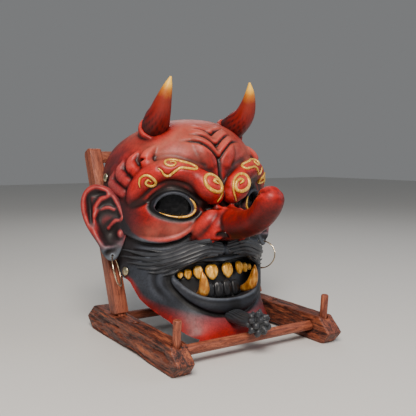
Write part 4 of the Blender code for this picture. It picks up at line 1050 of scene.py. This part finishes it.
def paintFace(skin):
    pts = ownMillimetres(coords(skin))
    normals = vertexNormals(skin) @ toRow[:3, :3]
    pairs = edgePairs(skin)
    rounds = int(28 / headForm["voxel"])
    soft = relaxed(pts, pairs, rounds)
    stand = np.sum((pts - soft) * normals, axis=1)
    wide = relaxed(soft, pairs, rounds * 4)
    bulge = np.sum((soft - wide) * normals, axis=1)
    x, y, z = pts.T
    across = np.abs(x)
    # lighter where the skin stands out, darker in its grooves: partly the wash, partly painted
    # highlight and painted shade
    relief = 0.44 + np.clip(stand * 0.32, -0.42, 0.24) + np.clip(bulge * 0.05, -0.12, 0.1)
    # painted highlight: what faces up is painted lighter, where the light from above falls
    relief += 0.12 * np.clip(normals[:, 2], -0.6, 1)

    edge = cheekEdge(x)
    red = np.clip((z - edge + 1.0) / 3.0, 0, 1)
    # the nose and its wings are red all round, whatever is behind them
    noseRows = curveThrough(reliefForms["nose"], 6)
    near, gap, _ = strokeField(pts, [(0, a, b) for a, b, _ in noseRows], 24)
    red[near] = np.maximum(red[near], np.clip((22.5 - gap) / 2.5, 0, 1) * (y[near] < -52))
    # and a deeper red than the face
    tipShare = np.clip((-58 - y[near]) / 12, 0, 1)
    relief[near] -= paintLook["noseDeeper"] * np.clip((24 - gap) / 5, 0, 1) * tipShare
    for side in (-1, 1):
        wingRows = curveThrough(reliefForms["wing"], 4)
        line = [facePoint(a * side, b, inset) for a, inset, b, _ in wingRows]
        near, gap, along = strokeField(pts, line, 16)
        reach = np.interp(along, [0, 0.33, 0.67, 1], wingRows[[0, 4, 8, 12], 3])
        red[near] = np.maximum(red[near], np.clip((reach + 2.2 - gap) / 1.5, 0, 1))
        rows = curveThrough(reliefForms["nostril"], 4)
        line = [facePoint(a * side, b, inset) for a, inset, b, _ in rows]
        near, gap, along = strokeField(pts, line, 18)
        reach = np.interp(along, np.linspace(0, 1, len(rows)), rows[:, 3])
        red[near] = np.maximum(red[near], np.clip((reach + 3.5 - gap) / 1.5, 0, 1))
    # soot towards the ears and the free edge
    soot = np.clip((across - 78) / 14, 0, 1) * np.clip((y + 20) / 30, 0, 1)
    soot = soot * np.clip((z - 95) / 12, 0, 1) * np.clip((262 - z) / 55, 0, 1)
    soot = np.maximum(soot, 0.75 * np.clip((y - 20) / 45, 0, 1) * np.clip((z - 95) / 12, 0, 1))
    for side in (-1, 1):
        for flame in flames:
            line = [facePoint(a * side, b, inset) for a, b, inset, _ in flame]
            near, gap, _ = strokeField(pts, line, 13)
            share = np.clip((13 - gap) / 5, 0, 1)
            soot[near] *= 1 - paintLook["flameClean"] * share
            relief[near] += 0.06 * share
    red = red * (1 - 0.75 * soot)
    # red fade along the jaw and under the chin
    line = np.array(headForm["edge"][1:11], float)
    gap = np.full(len(pts), 1e9)
    for a, b in zip(line[:-1], line[1:]):
        way = b - a
        t = np.clip(((y - a[0]) * way[0] + (z - a[1]) * way[1]) / (way @ way), 0, 1)
        gap = np.minimum(gap, np.hypot(y - a[0] - t * way[0], z - a[1] - t * way[1]))
    reach = np.interp(z, *paintLook["jawFade"])
    fade = np.clip(1.25 - gap / reach, 0, 1)
    under = np.clip((20 - z) / 14, 0, 1)
    fade = np.maximum(fade, under)
    red = np.where(z < 92, np.maximum(red, fade), red)
    # the lips are darker than the jaw round them
    lipRows = curveThrough(reliefForms["lowerLip"], 4)
    for side in (-1, 1):
        line = [facePoint(a * side, b, inset) for a, inset, b, _ in lipRows]
        near, gap, _ = strokeField(pts, line, 15)
        relief[near] -= paintLook["lipDarker"] * np.clip((14 - gap) / 5, 0, 1)
    # lids are painted sooty grey and darker: partly their own dark paint, partly painted shade from
    # the brow above
    for side in (-1, 1):
        ring = np.array(headForm["eye"] + headForm["eye"][:1], float)
        line = np.array([facePoint(a * -side, b) for a, b in ring])
        near, gapEye, _ = strokeField(pts, line, 15)
        red[near] *= np.clip((gapEye - 5.5) / 5.0, 0, 1)
        relief[near] -= paintLook["lidDarker"] * np.clip((10 - gapEye) / 4, 0, 1)
    inside = sideSurface(y, z) - across > 3.2
    inside &= y > faceY(np.clip(across, 0, stationAt(z)[0] * 0.99), z) + 3.2
    inside &= np.sum(normals * (pts - np.array([0, 45, 140])), axis=1) < 0
    red = np.where(inside, 0.0, red)
    relief = np.where(inside, 0.30, relief)
    soot = np.where(inside, 0.55, soot * 0.75)
    # smoke round the horn roots and up the temples
    for side in (-1, 1):
        root = np.array([51 * side, -3, 246])
        around = np.clip(1 - (np.linalg.norm(pts - root, axis=1) - 16) / 22, 0, 1)
        soot = np.where(inside, soot, np.maximum(soot, paintLook["hornSmoke"] * around))
    # pale pink on the forehead and cheek plates, mostly a painted highlight: strongest on what
    # faces up and stands out
    dustAndSheen = np.clip((z - paintLook["dustAndSheenFrom"]) / 22, 0, 1) * np.clip((92 - across) / 25, 0, 1)
    dustAndSheen = dustAndSheen * np.clip(0.4 + normals[:, 2] * 0.8 - normals[:, 1] * 0.2, 0, 1)
    cheek = np.clip(1.3 - np.hypot((across - 68) / 32, (z - 131) / 15), 0, 1)
    dustAndSheen = np.maximum(dustAndSheen, paintLook["cheekDustAndSheen"] * cheek * (y > -72))
    dustAndSheen = dustAndSheen * np.clip((relief - 0.2) / 0.2, 0, 1) * red
    for side in (-1, 1):
        spot = np.array([57 * side, -20, 258])
        dustAndSheen = dustAndSheen * np.clip((np.linalg.norm(pts - spot, axis=1) - 18) / 14, 0.1, 1)
    writePaint(skin, np.stack([red, np.clip(relief, 0, 1), soot, dustAndSheen], 1))


def writePaint(ob, values):
    # red against black, how far it stands out, soot, and pale pink dust that is mostly a painted
    # highlight
    layer = ob.data.attributes.new("paint", "FLOAT_COLOR", "POINT")
    layer.data.foreach_set("color", np.clip(values, 0, 1).astype(np.float32).ravel())


note("face skin")
skin = buildSkin()
print("points", len(skin.data.vertices))
note("face sculpting")
face = sculptFace(skin)
note("scrolls on the brows")
scrollParts = []
for name, spot in scrolls.items():
    for side in (-1, 1):
        line, out = scrollLine(face, spot, side)
        wide = spot["wide"]
        radii = np.interp(np.linspace(0, 1, len(line)), [0, 0.1, 0.45, 0.9, 1],
                          [0.35 * wide, 0.8 * wide, 1.25 * wide, wide, 0.4 * wide])
        ob = tube(f"scroll_{name}_{sideName(side)}", line + out * 0.9, radii, 12, up=tuple(out))
        finishPiece(ob, "mask", goldLine)
note("moustache")
for side in (-1, 1):
    buildMoustache(face, side)
note("face cuts")
cutFace(face)
note("face paint")
paintFace(skin)
finishPiece(skin, "mask", resin, ["mask_shell"], angle=60)


def buildHorn(side):
    rows = curveThrough(horn["line"], horn["steps"])
    path = [(x * side, y, z) for x, y, z, _ in rows]
    label = sideName(side)
    ob = tube("horn_shell_" + label, path, rows[:, 3], horn["sides"])
    pts = coords(ob)
    normals = vertexNormals(ob)
    line = placed(path)
    gap = np.linalg.norm(pts[:, None, :] - line[None, :, :], axis=2)
    nearest = gap.argmin(1)
    along = nearest / (len(line) - 1)
    centre = line[nearest]
    spoke = pts - centre
    angle = np.arctan2(spoke[:, 2], spoke[:, 0])
    depth = np.clip((0.62 - along) / 0.25, 0, 1)
    wave = 0.5 + 0.5 * np.cos(angle * horn["grooves"] + 3 * np.sin(along * 9))
    pts = pts - normals * (horn["grooveDepth"] * depth * wave ** 3)[:, None]
    setCoords(ob, pts)
    soot = np.clip((wave ** 5) * depth * np.clip((along - 0.2) / 0.1, 0, 1), 0, 0.9)
    soot = np.maximum(soot, np.clip((0.34 - along) / 0.12, 0, 1) * 0.7)
    relief = np.full(len(pts), 0.5)
    writePaint(ob, np.stack([along, relief, soot, soot * 0], 1))
    finishPiece(ob, "mask", hornMat, ["horn_" + label], angle=60)


note("horns")
for side in (-1, 1):
    buildHorn(side)


ear = {
    "root": (-98, 15, 150),
    "turn": 33.75,
    "outline": [(-5, 20), (2, 34), (12, 46), (26, 52), (38, 49), (46, 38), (48, 23), (45, 6),
                (39, -8), (32, -22), (28, -34), (22, -42), (14, -42), (8, -35), (1, -22),
                (-5, -8), (-7, 6)],
    "centre": (21, 2),
    "rings": 40,
    "around": 180,
    "hole": (16.5, -37),
    "ridges": [
        # line, radius, height: outer rim, inner rim, its lower arm, the root of the rim
        ([(-2, 8), (2, 22), (7, 34), (15, 43), (26, 47.5), (36, 45), (42.5, 36), (44, 22),
          (41, 7), (36, -7), (30, -20), (26, -30)], 6.5, 4.2),
        ([(22, -27), (28, -16), (32, -3), (33, 10), (30, 22), (23, 31), (14, 34)], 6.5, 4.4),
        ([(31, 14), (24, 20), (15, 21), (8, 18)], 5.0, 2.6),
        ([(0, 4), (7, 4), (13, 1), (18, -3)], 5.0, 2.6),
    ],
    "bumps": [
        # out, up, half width, half height, height: bowl, flap, lobe, two hollows by the rim
        (16, -9, 17, 19, -7.5), (5, -12, 7, 8, 5.0), (18, -27, 8, 6, 3.2),
        (37, 22, 5, 22, -2.5), (24, 39, 12, 4, -2.0),
    ],
}


def earFrame(side):
    turn = math.radians(ear["turn"])
    outward = Vector((side * math.cos(turn), math.sin(turn), 0))
    upward = Vector((0, 0, 1))
    front = outward.cross(upward)
    if front.y > 0:
        front = -front
    x, y, z = ear["root"]
    origin = np.array([-x * side, y, z], float)
    return origin, np.array([outward, upward, front])


def bumpAt(u, v, cx, cy, rx, ry, height):
    share = np.clip(1 - np.hypot((u - cx) / rx, (v - cy) / ry), 0, 1)
    return height * share * share * (3 - 2 * share)


def ridgeAt(u, v, line, radius, height):
    flat = np.stack([u, v, np.zeros_like(u)], 1)
    rows = curveThrough([(a, b, 0.0) for a, b in line], 6)
    near, gap, _ = strokeField(flat, rows, radius)
    out = np.zeros(len(u))
    share = np.clip(1 - gap / radius, 0, 1)
    out[near] = height * share * share * (3 - 2 * share)
    return out


def buildEar(side):
    label = sideName(side)
    ring = curveThrough(ear["outline"] + ear["outline"][:1], 12)[:-1]
    picks = np.linspace(0, len(ring), ear["around"], endpoint=False).astype(int)
    ring = ring[picks]
    centre = np.array(ear["centre"], float)
    levels = np.linspace(0, 1, ear["rings"] + 1)[1:] ** 0.8
    u = [centre[0]]
    v = [centre[1]]
    rim = [0.0]
    for level in levels:
        for a, b in ring:
            u.append(centre[0] + (a - centre[0]) * level)
            v.append(centre[1] + (b - centre[1]) * level)
            rim.append(level)
    u = np.array(u)
    v = np.array(v)
    rim = np.array(rim)
    domeShare = np.sqrt(np.clip(1 - rim ** 8, 0, 1))
    cup = 5.5 * rim ** 3 * np.clip((u + 2) / 20, 0, 1)
    high = 2.2 + cup
    for line, radius, height in ear["ridges"]:
        high += ridgeAt(u, v, line, radius, height)
    for spot in ear["bumps"]:
        high += bumpAt(u, v, *spot)
    front = high * (0.35 + 0.65 * domeShare)
    back = (-3.0 - 1.5 * (1 - rim ** 2)) * domeShare + cup * 0.8 * domeShare
    back = np.minimum(back, front - 2.0 * domeShare)
    origin, axes = earFrame(side)
    flat = np.stack([u, v], 1)
    upper = origin + flat @ axes[:2] + front[:, None] * axes[2]
    under = origin + flat @ axes[:2] + back[:, None] * axes[2]
    count = len(u)
    around = ear["around"]
    faces = []
    for base, flip in ((0, False), (count, True)):
        for k in range(around):
            n = (k + 1) % around
            fan = [base, base + 1 + k, base + 1 + n]
            faces.append(fan[::-1] if flip else fan)
            for row in range(len(levels) - 1):
                a = base + 1 + row * around
                quad = [a + k, a + around + k, a + around + n, a + n]
                faces.append(quad[::-1] if flip else quad)
    last = 1 + (len(levels) - 1) * around
    for k in range(around):
        n = (k + 1) % around
        faces.append([last + k, count + last + k, count + last + n, last + n])
    ob = meshObject("ear_shell_" + label, placed(np.vstack([upper, under])), faces)
    cleanNormals(ob)
    useModifier(ob, "REMESH", mode="VOXEL", voxel_size=0.0008)
    useModifier(ob, "SMOOTH", factor=0.5, iterations=6)
    hu, hv = ear["hole"]
    middle = origin + np.array([hu, hv]) @ axes[:2]
    tool = tube("hole", [middle - axes[2] * 20, middle + axes[2] * 20], [1.5, 1.5], 24,
                roundEnds=False)
    carve(ob, tool)
    pts = ownMillimetres(coords(ob))
    normals = vertexNormals(ob) @ toRow[:3, :3]
    pairs = edgePairs(ob)
    soft = relaxed(pts, pairs, 40)
    stand = np.sum((pts - soft) * normals, axis=1)
    earUp = pts[:, 2] - origin[2]
    earOut = (pts - origin) @ axes[0]
    # lighter where the ear stands out and faces up, darker in its hollows and towards the bottom:
    # partly its paint, partly painted highlight from above and painted shade in the hollows
    relief = np.clip(0.42 + stand * 0.55 + 0.1 * normals[:, 2], 0.02, 1)
    red = np.clip((earUp + 30) / 22, 0, 1) * np.clip(0.22 + stand * 0.8 + earOut / 90, 0.1, 0.85)
    soot = np.clip(0.5 - stand * 0.9, 0.18, 0.92) * np.clip((earUp + 44) / 20, 0.4, 1)
    writePaint(ob, np.stack([red, relief, soot, soot * 0], 1))
    finishPiece(ob, "mask", resin, ["ear_" + label], angle=70)


note("ears")
for side in (-1, 1):
    buildEar(side)


def fromCad(name, node):
    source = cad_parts[node]
    ob = bpy.data.objects.new(name, source.data.copy())
    bpy.context.scene.collection.objects.link(ob)
    pick(ob)
    bpy.ops.object.mode_set(mode="EDIT")
    bpy.ops.mesh.select_all(action="SELECT")
    bpy.ops.mesh.remove_doubles(threshold=0.00002)
    bpy.ops.mesh.dissolve_limited(angle_limit=math.radians(1))
    bpy.ops.mesh.normals_make_consistent(inside=False)
    bpy.ops.object.mode_set(mode="OBJECT")
    return ob


teeth = {
    # x, front, height of the middle, width, height, thickness
    "upper": [(11.5, -35, 77.5, 17, 19.5, 6), (30, -33.5, 79, 12, 16.5, 5.8),
              (41.5, -28.5, 78.5, 10, 13, 5), (50.5, -25, 78.5, 7.4, 8.5, 4.4)],
    "lower": [(6.4, -36, 56, 12.2, 20, 5.4), (19, -34.5, 56, 12, 19, 5.2)],
    "rings": 14,
    "around": 72,
}


def toothMesh(name, spot, side, pointed, flutes):
    x, front, middleZ, width, height, thick = spot
    around = teeth["around"]
    levels = np.linspace(0, 1, teeth["rings"] + 1)[1:]
    turn = 2 * math.pi * np.arange(around) / around
    ringU = np.sign(np.cos(turn)) * np.abs(np.cos(turn)) ** 0.75 * width / 2
    ringV = np.sign(np.sin(turn)) * np.abs(np.sin(turn)) ** 0.75 * height / 2
    ringU = ringU * (1 - pointed * np.clip(-2 * ringV / height + 0.1, 0, 1.1) ** 1.6)
    u = np.concatenate([[0.0], np.outer(levels, ringU).ravel()])
    v = np.concatenate([[0.0], np.outer(levels, ringV).ravel()])
    rim = np.concatenate([[0.0], np.repeat(levels, around)])
    dome = np.clip(1 - rim ** 3.2, 0, 1) ** 0.55
    line = np.cos(u / width * 2 * math.pi * flutes + 0.5 * np.sin(v * 0.5))
    upper = dome * thick * 0.62 + 0.42 * line * np.clip(1 - rim ** 4, 0, 1)
    under = -dome * thick * 0.55
    turnOut = math.atan2(x, 70.0)
    across = np.array([math.cos(turnOut), math.sin(turnOut), 0.0])
    out = np.array([math.sin(turnOut), -math.cos(turnOut), 0.0])
    middle = np.array([x, front + thick * 0.6, middleZ])
    flat = middle + u[:, None] * across + v[:, None] * np.array([0, 0, 1.0])
    pts = np.vstack([flat + upper[:, None] * out, flat + under[:, None] * out])
    pts[:, 0] *= side
    count = len(u)
    faces = []
    for base in (0, count):
        for k in range(around):
            n = (k + 1) % around
            faces.append([base, base + 1 + k, base + 1 + n])
            for row in range(len(levels) - 1):
                a = base + 1 + row * around
                faces.append([a + k, a + around + k, a + around + n, a + n])
    ob = meshObject(name, placed(pts), faces)
    cleanNormals(ob)
    return ob


def buildTooth(side, number):
    label = sideName(side)
    ob = toothMesh(f"gold_tooth_{label}_{number}", teeth["upper"][number - 1], side, 0.48, 3)
    finishPiece(ob, "mask", gold, [f"upper_tooth_{label}_{number}"], angle=80)


def buildLowerTeeth():
    parts = []
    for side in (-1, 1):
        for spot in teeth["lower"]:
            parts.append(toothMesh("dark_tooth", spot, side, 0.05, 2))
    ob = joined(parts, "lower_teeth")
    finishPiece(ob, "mask", gumMat, angle=80)


tusk = {
    "line": [(32, -30.5, 53, 4.5), (33, -38, 54, 6.0), (34.5, -45.5, 58, 6.4),
             (36, -49.5, 65, 5.4), (37.2, -51.5, 72, 3.7), (38, -52.2, 78, 1.2)],
}


def buildTusk(side):
    label = sideName(side)
    rows = curveThrough(tusk["line"], 10)
    path = [(x * side, y, z) for x, y, z, _ in rows]
    ob = tube("gold_tusk_" + label, path, rows[:, 3], 36)
    finishPiece(ob, "mask", tuskGold, ["tusk_" + label], angle=80)


def buildGum(node, name):
    ob = fromCad(name, node)
    useModifier(ob, "REMESH", mode="VOXEL", voxel_size=0.0008)
    useModifier(ob, "SMOOTH", factor=0.5, iterations=10)
    pts = coords(ob)
    low, high = pts[:, 2].min(), pts[:, 2].max()
    share = (pts[:, 2] - low) / (high - low)
    if node == "lower_gum":
        pts[:, 2] += 0.0016 * np.clip(share - 0.6, 0, 1) / 0.4
    setCoords(ob, pts)
    finishPiece(ob, "mask", gumMat, [node], angle=80)


note("teeth and gums")
for side in (-1, 1):
    for number in range(1, 5):
        buildTooth(side, number)
    buildTusk(side)
buildLowerTeeth()
buildGum("upper_gum", "gum_upper")
buildGum("lower_gum", "gum_lower")


# a dark sheet behind each eye hole: painted shade for the dark seen through the eyes
lens = {
    "inner": 31.0,
    "outer": 84.0,
    "low": 140,
    "high": 177,
    "gap": 0.9,                                    # behind the shell's wall
    "thick": 2.0,
}


def buildEyeShadeSheet(side):
    label = sideName(side)
    low, high = sorted((lens["outer"] * side, lens["inner"] * side))
    ob = facePatch("lens_" + label, low, high, lens["low"], lens["high"],
                   headForm["wall"] + lens["gap"], lens["thick"], 36, 26)
    finishPiece(ob, "mask", eyeShadeSheetMat, ["eye_lens_" + label], angle=30)


note("eye shade sheets")
for side in (-1, 1):
    buildEyeShadeSheet(side)


lid = {
    # the gilded line on the lower lid
    "line": [(-72, 153.5), (-66, 148.6), (-57, 145), (-48, 144), (-41, 146), (-37, 151.5),
             (-38.5, 159), (-42, 164)],
    "thin": 0.4,
    "thick": 1.3,
}


def lidLine(side):
    label = sideName(side)
    rows = curveThrough(lid["line"], 6)
    tree = BVHTree.FromPolygons([tuple(p) for p in coords(skin)],
                                [tuple(p.vertices) for p in skin.data.polygons])
    path = []
    aim = (maskPlace.to_3x3() @ Vector((0, 1, 0))).normalized()
    for x, z in rows:
        start = Vector(placed([(x * -side, -120, z)])[0])
        hit = tree.ray_cast(start, aim)
        point = hit[0] if hit[0] is not None else Vector(placed([facePoint(x * -side, z)])[0])
        path.append(point * 1000)
    radii = np.interp(np.linspace(0, 1, len(path)), [0, 0.15, 0.85, 1],
                      [lid["thin"], lid["thick"], lid["thick"], lid["thin"]])
    ob = tube("lid_line_" + label, path, radii, 10, row=False)
    finishPiece(ob, "mask", goldLine)


note("lid lines")
for side in (-1, 1):
    lidLine(side)


tuft = {
    "line": [(-40, 26, 12), (-52, 22, 12.5), (-64, 18.5, 12), (-78, 15.5, 10.5), (-90, 12.5, 9)],
    "knob": (-93, 12.5),
    "radius": 10.5,
    "ball": 4.4,
    "balls": 26,
    "flatness": 0.62,
}


def buildTuft():
    rows = curveThrough(tuft["line"], 8)
    stem = tube("tuft", [(0, y, z) for y, z, _ in rows], rows[:, 2], 48,
                squash=tuft["flatness"])
    parts = [stem]
    y, z = tuft["knob"]
    centre = np.array([0, y, z], float)
    r = tuft["radius"]
    parts.append(tube("core", [centre - [0.2, 0, 0], centre + [0.2, 0, 0]], [r, r], 24))
    golden = math.pi * (3 - math.sqrt(5))
    count = tuft["balls"]
    for k in range(count):
        lift = 1 - 2 * (k + 0.5) / count
        reach = math.sqrt(1 - lift * lift)
        way = np.array([reach * math.cos(k * golden), -lift, reach * math.sin(k * golden)])
        if way[1] > 0.55:
            continue
        spot = centre + way * (r + 0.6)
        size = tuft["ball"] * random.uniform(0.72, 1.0)
        parts.append(tube("curl", [spot - [0.1, 0, 0], spot + [0.1, 0, 0]], [size, size], 16))
        # a smaller bead on top gives the curled look
        top = spot + way * size * 0.75 + np.array([random.uniform(-1, 1) for _ in range(3)])
        parts.append(tube("bead", [top - [0.1, 0, 0], top + [0.1, 0, 0]], [1.9, 1.9], 12))
    ob = joined(parts, "tuft_and_knob")
    useModifier(ob, "REMESH", mode="VOXEL", voxel_size=0.0006)
    useModifier(ob, "SMOOTH", factor=0.5, iterations=5)
    pts = coords(ob)
    normals = vertexNormals(ob)
    own = ownMillimetres(pts)
    strands = np.cos(own[:, 0] * 2.4 + 0.6 * np.sin(own[:, 1] * 0.25))
    stemShare = np.clip((own[:, 1] + 82) / 6, 0, 1)
    pts = pts + normals * (strands * 0.00035 * stemShare)[:, None]
    setCoords(ob, pts)
    finishPiece(ob, "mask", tuftMat, ["chin_tuft"], angle=80)


note("chin tuft")
buildTuft()


hoop = {
    "wire": 0.0009,
    "sleeve": [1.05, 1.3, 1.3, 1.3, 1.3, 1.3, 1.05],    # radii of the clasp, millimetres
}


def buildHoop(label):
    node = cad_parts["earring_" + label]
    pts = np.array([tuple(v.co) for v in node.data.vertices])
    centre = pts.mean(0)
    _, _, axes = np.linalg.svd(pts - centre, full_matrices=False)
    normal = Vector(axes[2])
    radius = float(np.linalg.norm((pts - centre) @ axes[:2].T, axis=1).mean())
    turn = Vector((0, 0, 1)).rotation_difference(normal).to_matrix().to_4x4()
    pick(node)
    bpy.ops.object.select_all(action="DESELECT")
    bpy.ops.mesh.primitive_torus_add(major_segments=96, minor_segments=16, major_radius=radius,
                                     minor_radius=hoop["wire"])
    ob = bpy.context.object
    ob.name = "hoop_" + label
    ob.data.transform(Matrix.Translation(Vector(centre)) @ turn)
    # sleeve where the wire's two ends meet, at the bottom
    low = min((v.co.copy() for v in ob.data.vertices), key=lambda c: c.z)
    middle = Vector(centre)
    down = (low - middle).normalized()
    side = normal.cross(down).normalized()
    path = []
    for k in range(7):
        a = math.radians(-9 + 3 * k)
        path.append((middle + (down * math.cos(a) + side * math.sin(a)) * radius) * 1000)
    sleeve = tube("sleeve", path, hoop["sleeve"], 16, row=False)
    ob = joined([ob, sleeve], "hoop_" + label)
    finishPiece(ob, "earring_" + label, hoopMat, ["earring_" + label], angle=60)


def buildRivet(node):
    ob = fromCad("cap_" + node, node)
    useModifier(ob, "REMESH", mode="VOXEL", voxel_size=0.0004)
    useModifier(ob, "SMOOTH", factor=0.5, iterations=8)
    finishPiece(ob, "mask", rivetMat, [node], angle=60)


strap = {
    "width": 0.020,
    "length": {"upper": 0.222, "lower": 0.217},    # cut lengths, tab to tab
    "edge": 0.0004,
}


def buildStrap(level):
    node = level + "_strap"
    ob = fromCad("band_" + node, node)
    useModifier(ob, "BEVEL", width=strap["edge"], segments=2, limit_method="ANGLE",
                angle_limit=math.radians(50))
    finishPiece(ob, "mask", elasticMat, [node], angle=30)


note("hoops, rivets and straps")
for label in ("right", "left"):
    buildHoop(label)
    buildRivet("rivet_upper_" + label)
    buildRivet("rivet_lower_" + label)
buildStrap("upper")
buildStrap("lower")


footLook = {
    "grid": 0.0016,
    "barkDepth": 0.0023,
    "grooves": 260.0,                              # per metre across the grain
    "lumps": 60.0,
}


def smoothNoise(pts, scale, seed):
    shift = Vector((seed * 11.3, seed * 7.1, seed * 3.7))
    return np.array([noise.fractal(Vector(p) + shift, 1.0, 2.0, 4,
                                   noise_basis="PERLIN_ORIGINAL") for p in pts * scale])


def buildFoot(label):
    node = "foot_" + label
    ob = fromCad("live_edge_" + node, node)
    useModifier(ob, "REMESH", mode="VOXEL", voxel_size=footLook["grid"])
    useModifier(ob, "SMOOTH", factor=0.5, iterations=2)
    pts = coords(ob)
    normals = vertexNormals(ob)
    low, high = pts.min(0), pts.max(0)
    outer = np.abs(normals[:, 0])
    stretched = pts * np.array([1.0, 0.12, 1.0])
    grooves = smoothNoise(stretched, footLook["grooves"], 1)
    lumps = smoothNoise(pts * np.array([1, 0.35, 1]), footLook["lumps"], 2)
    rough = np.clip(outer, 0, 1) ** 2
    flat = np.clip(normals[:, 2], 0, 1)
    depth = footLook["barkDepth"]
    move = rough * (-depth * 0.5 + depth * grooves + depth * 0.8 * lumps)
    move += flat * depth * 0.16 * grooves
    under = normals[:, 2] < -0.5
    move[under] = np.minimum(move[under], 0) * 0.2
    ends = np.clip(np.minimum(pts[:, 1] - low[1], high[1] - pts[:, 1]) / 0.02, 0.25, 1)
    pts = pts + normals * (move * ends)[:, None]
    setCoords(ob, pts)
    finishPiece(ob, "stand", barkMat, [node], angle=70)


def buildStick(node, name, body, mat, bevel):
    ob = fromCad(name, node)
    useModifier(ob, "BEVEL", width=bevel, segments=3, limit_method="ANGLE",
                angle_limit=math.radians(35))
    finishPiece(ob, body, mat, [node], angle=30)


note("stand")
for label in ("right", "left"):
    buildFoot(label)
    buildStick("post_" + label, "leaning_post_" + label, "stand", postMat, 0.0012)
    buildStick("peg_" + label, "round_peg_" + label, "peg_" + label, pegMat, 0.0005)
buildStick("top_rail", "rail_between_posts", "stand", dowelMat, 0.0012)
buildStick("front_dowel", "round_front_bar", "stand", dowelMat, 0.0005)
buildStick("rear_dowel", "round_rear_bar", "stand", dowelMat, 0.0005)


studio = {
    "floor": 8.0,
    "skyStrength": 0.25,
    "lights": [
        # name, place, size, watts, colour
        ("key", (-0.55, -0.8, 1.05), 0.6, 25.0, "#fff6ec"),
        ("fill", (1.1, -0.6, 0.7), 0.9, 4.0, "#eef4ff"),
        ("rim", (0.5, 1.0, 1.0), 0.6, 2.0, "#ffffff"),
    ],
    "cameraPlace": (-0.4011, -0.4989 + backShift, 0.225),
    "cameraDown": 5.05,
    "cameraTurn": -32.95,
    "cameraLens": 51.6,
}


def buildStage():
    bpy.ops.object.select_all(action="DESELECT")
    bpy.ops.mesh.primitive_plane_add(size=studio["floor"], location=(0, 0, 0))
    floor = bpy.context.object
    floor.name = "floor"
    mat, _, shader = newMaterial("paleCard")
    shader.inputs["Base Color"].default_value = hexColour("#d9d8d5")
    shader.inputs["Roughness"].default_value = 0.85
    floor.data.materials.append(mat)
    world = bpy.data.worlds.new("studio")
    bpy.context.scene.world = world
    world.use_nodes = True
    back = world.node_tree.nodes["Background"]
    back.inputs["Color"].default_value = hexColour("#e6e8ea")
    back.inputs["Strength"].default_value = studio["skyStrength"]
    for name, place, size, watts, colour in studio["lights"]:
        data = bpy.data.lights.new(name, "AREA")
        data.size = size
        data.energy = watts
        data.color = hexColour(colour)[:3]
        lamp = bpy.data.objects.new(name, data)
        lamp.location = place
        aim = Vector((0, 0, 0.15)) - Vector(place)
        lamp.rotation_euler = aim.to_track_quat("-Z", "Y").to_euler()
        bpy.context.scene.collection.objects.link(lamp)


def buildCamera():
    data = bpy.data.cameras.new("camera")
    data.sensor_width = 36.0
    data.lens = studio["cameraLens"]
    data.clip_start = 0.01
    camera = bpy.data.objects.new("camera", data)
    camera.location = studio["cameraPlace"]
    camera.rotation_euler = (math.radians(90 - studio["cameraDown"]), 0,
                             math.radians(studio["cameraTurn"]))
    bpy.context.scene.collection.objects.link(camera)
    bpy.context.scene.camera = camera


note("stage and camera")
buildStage()
buildCamera()
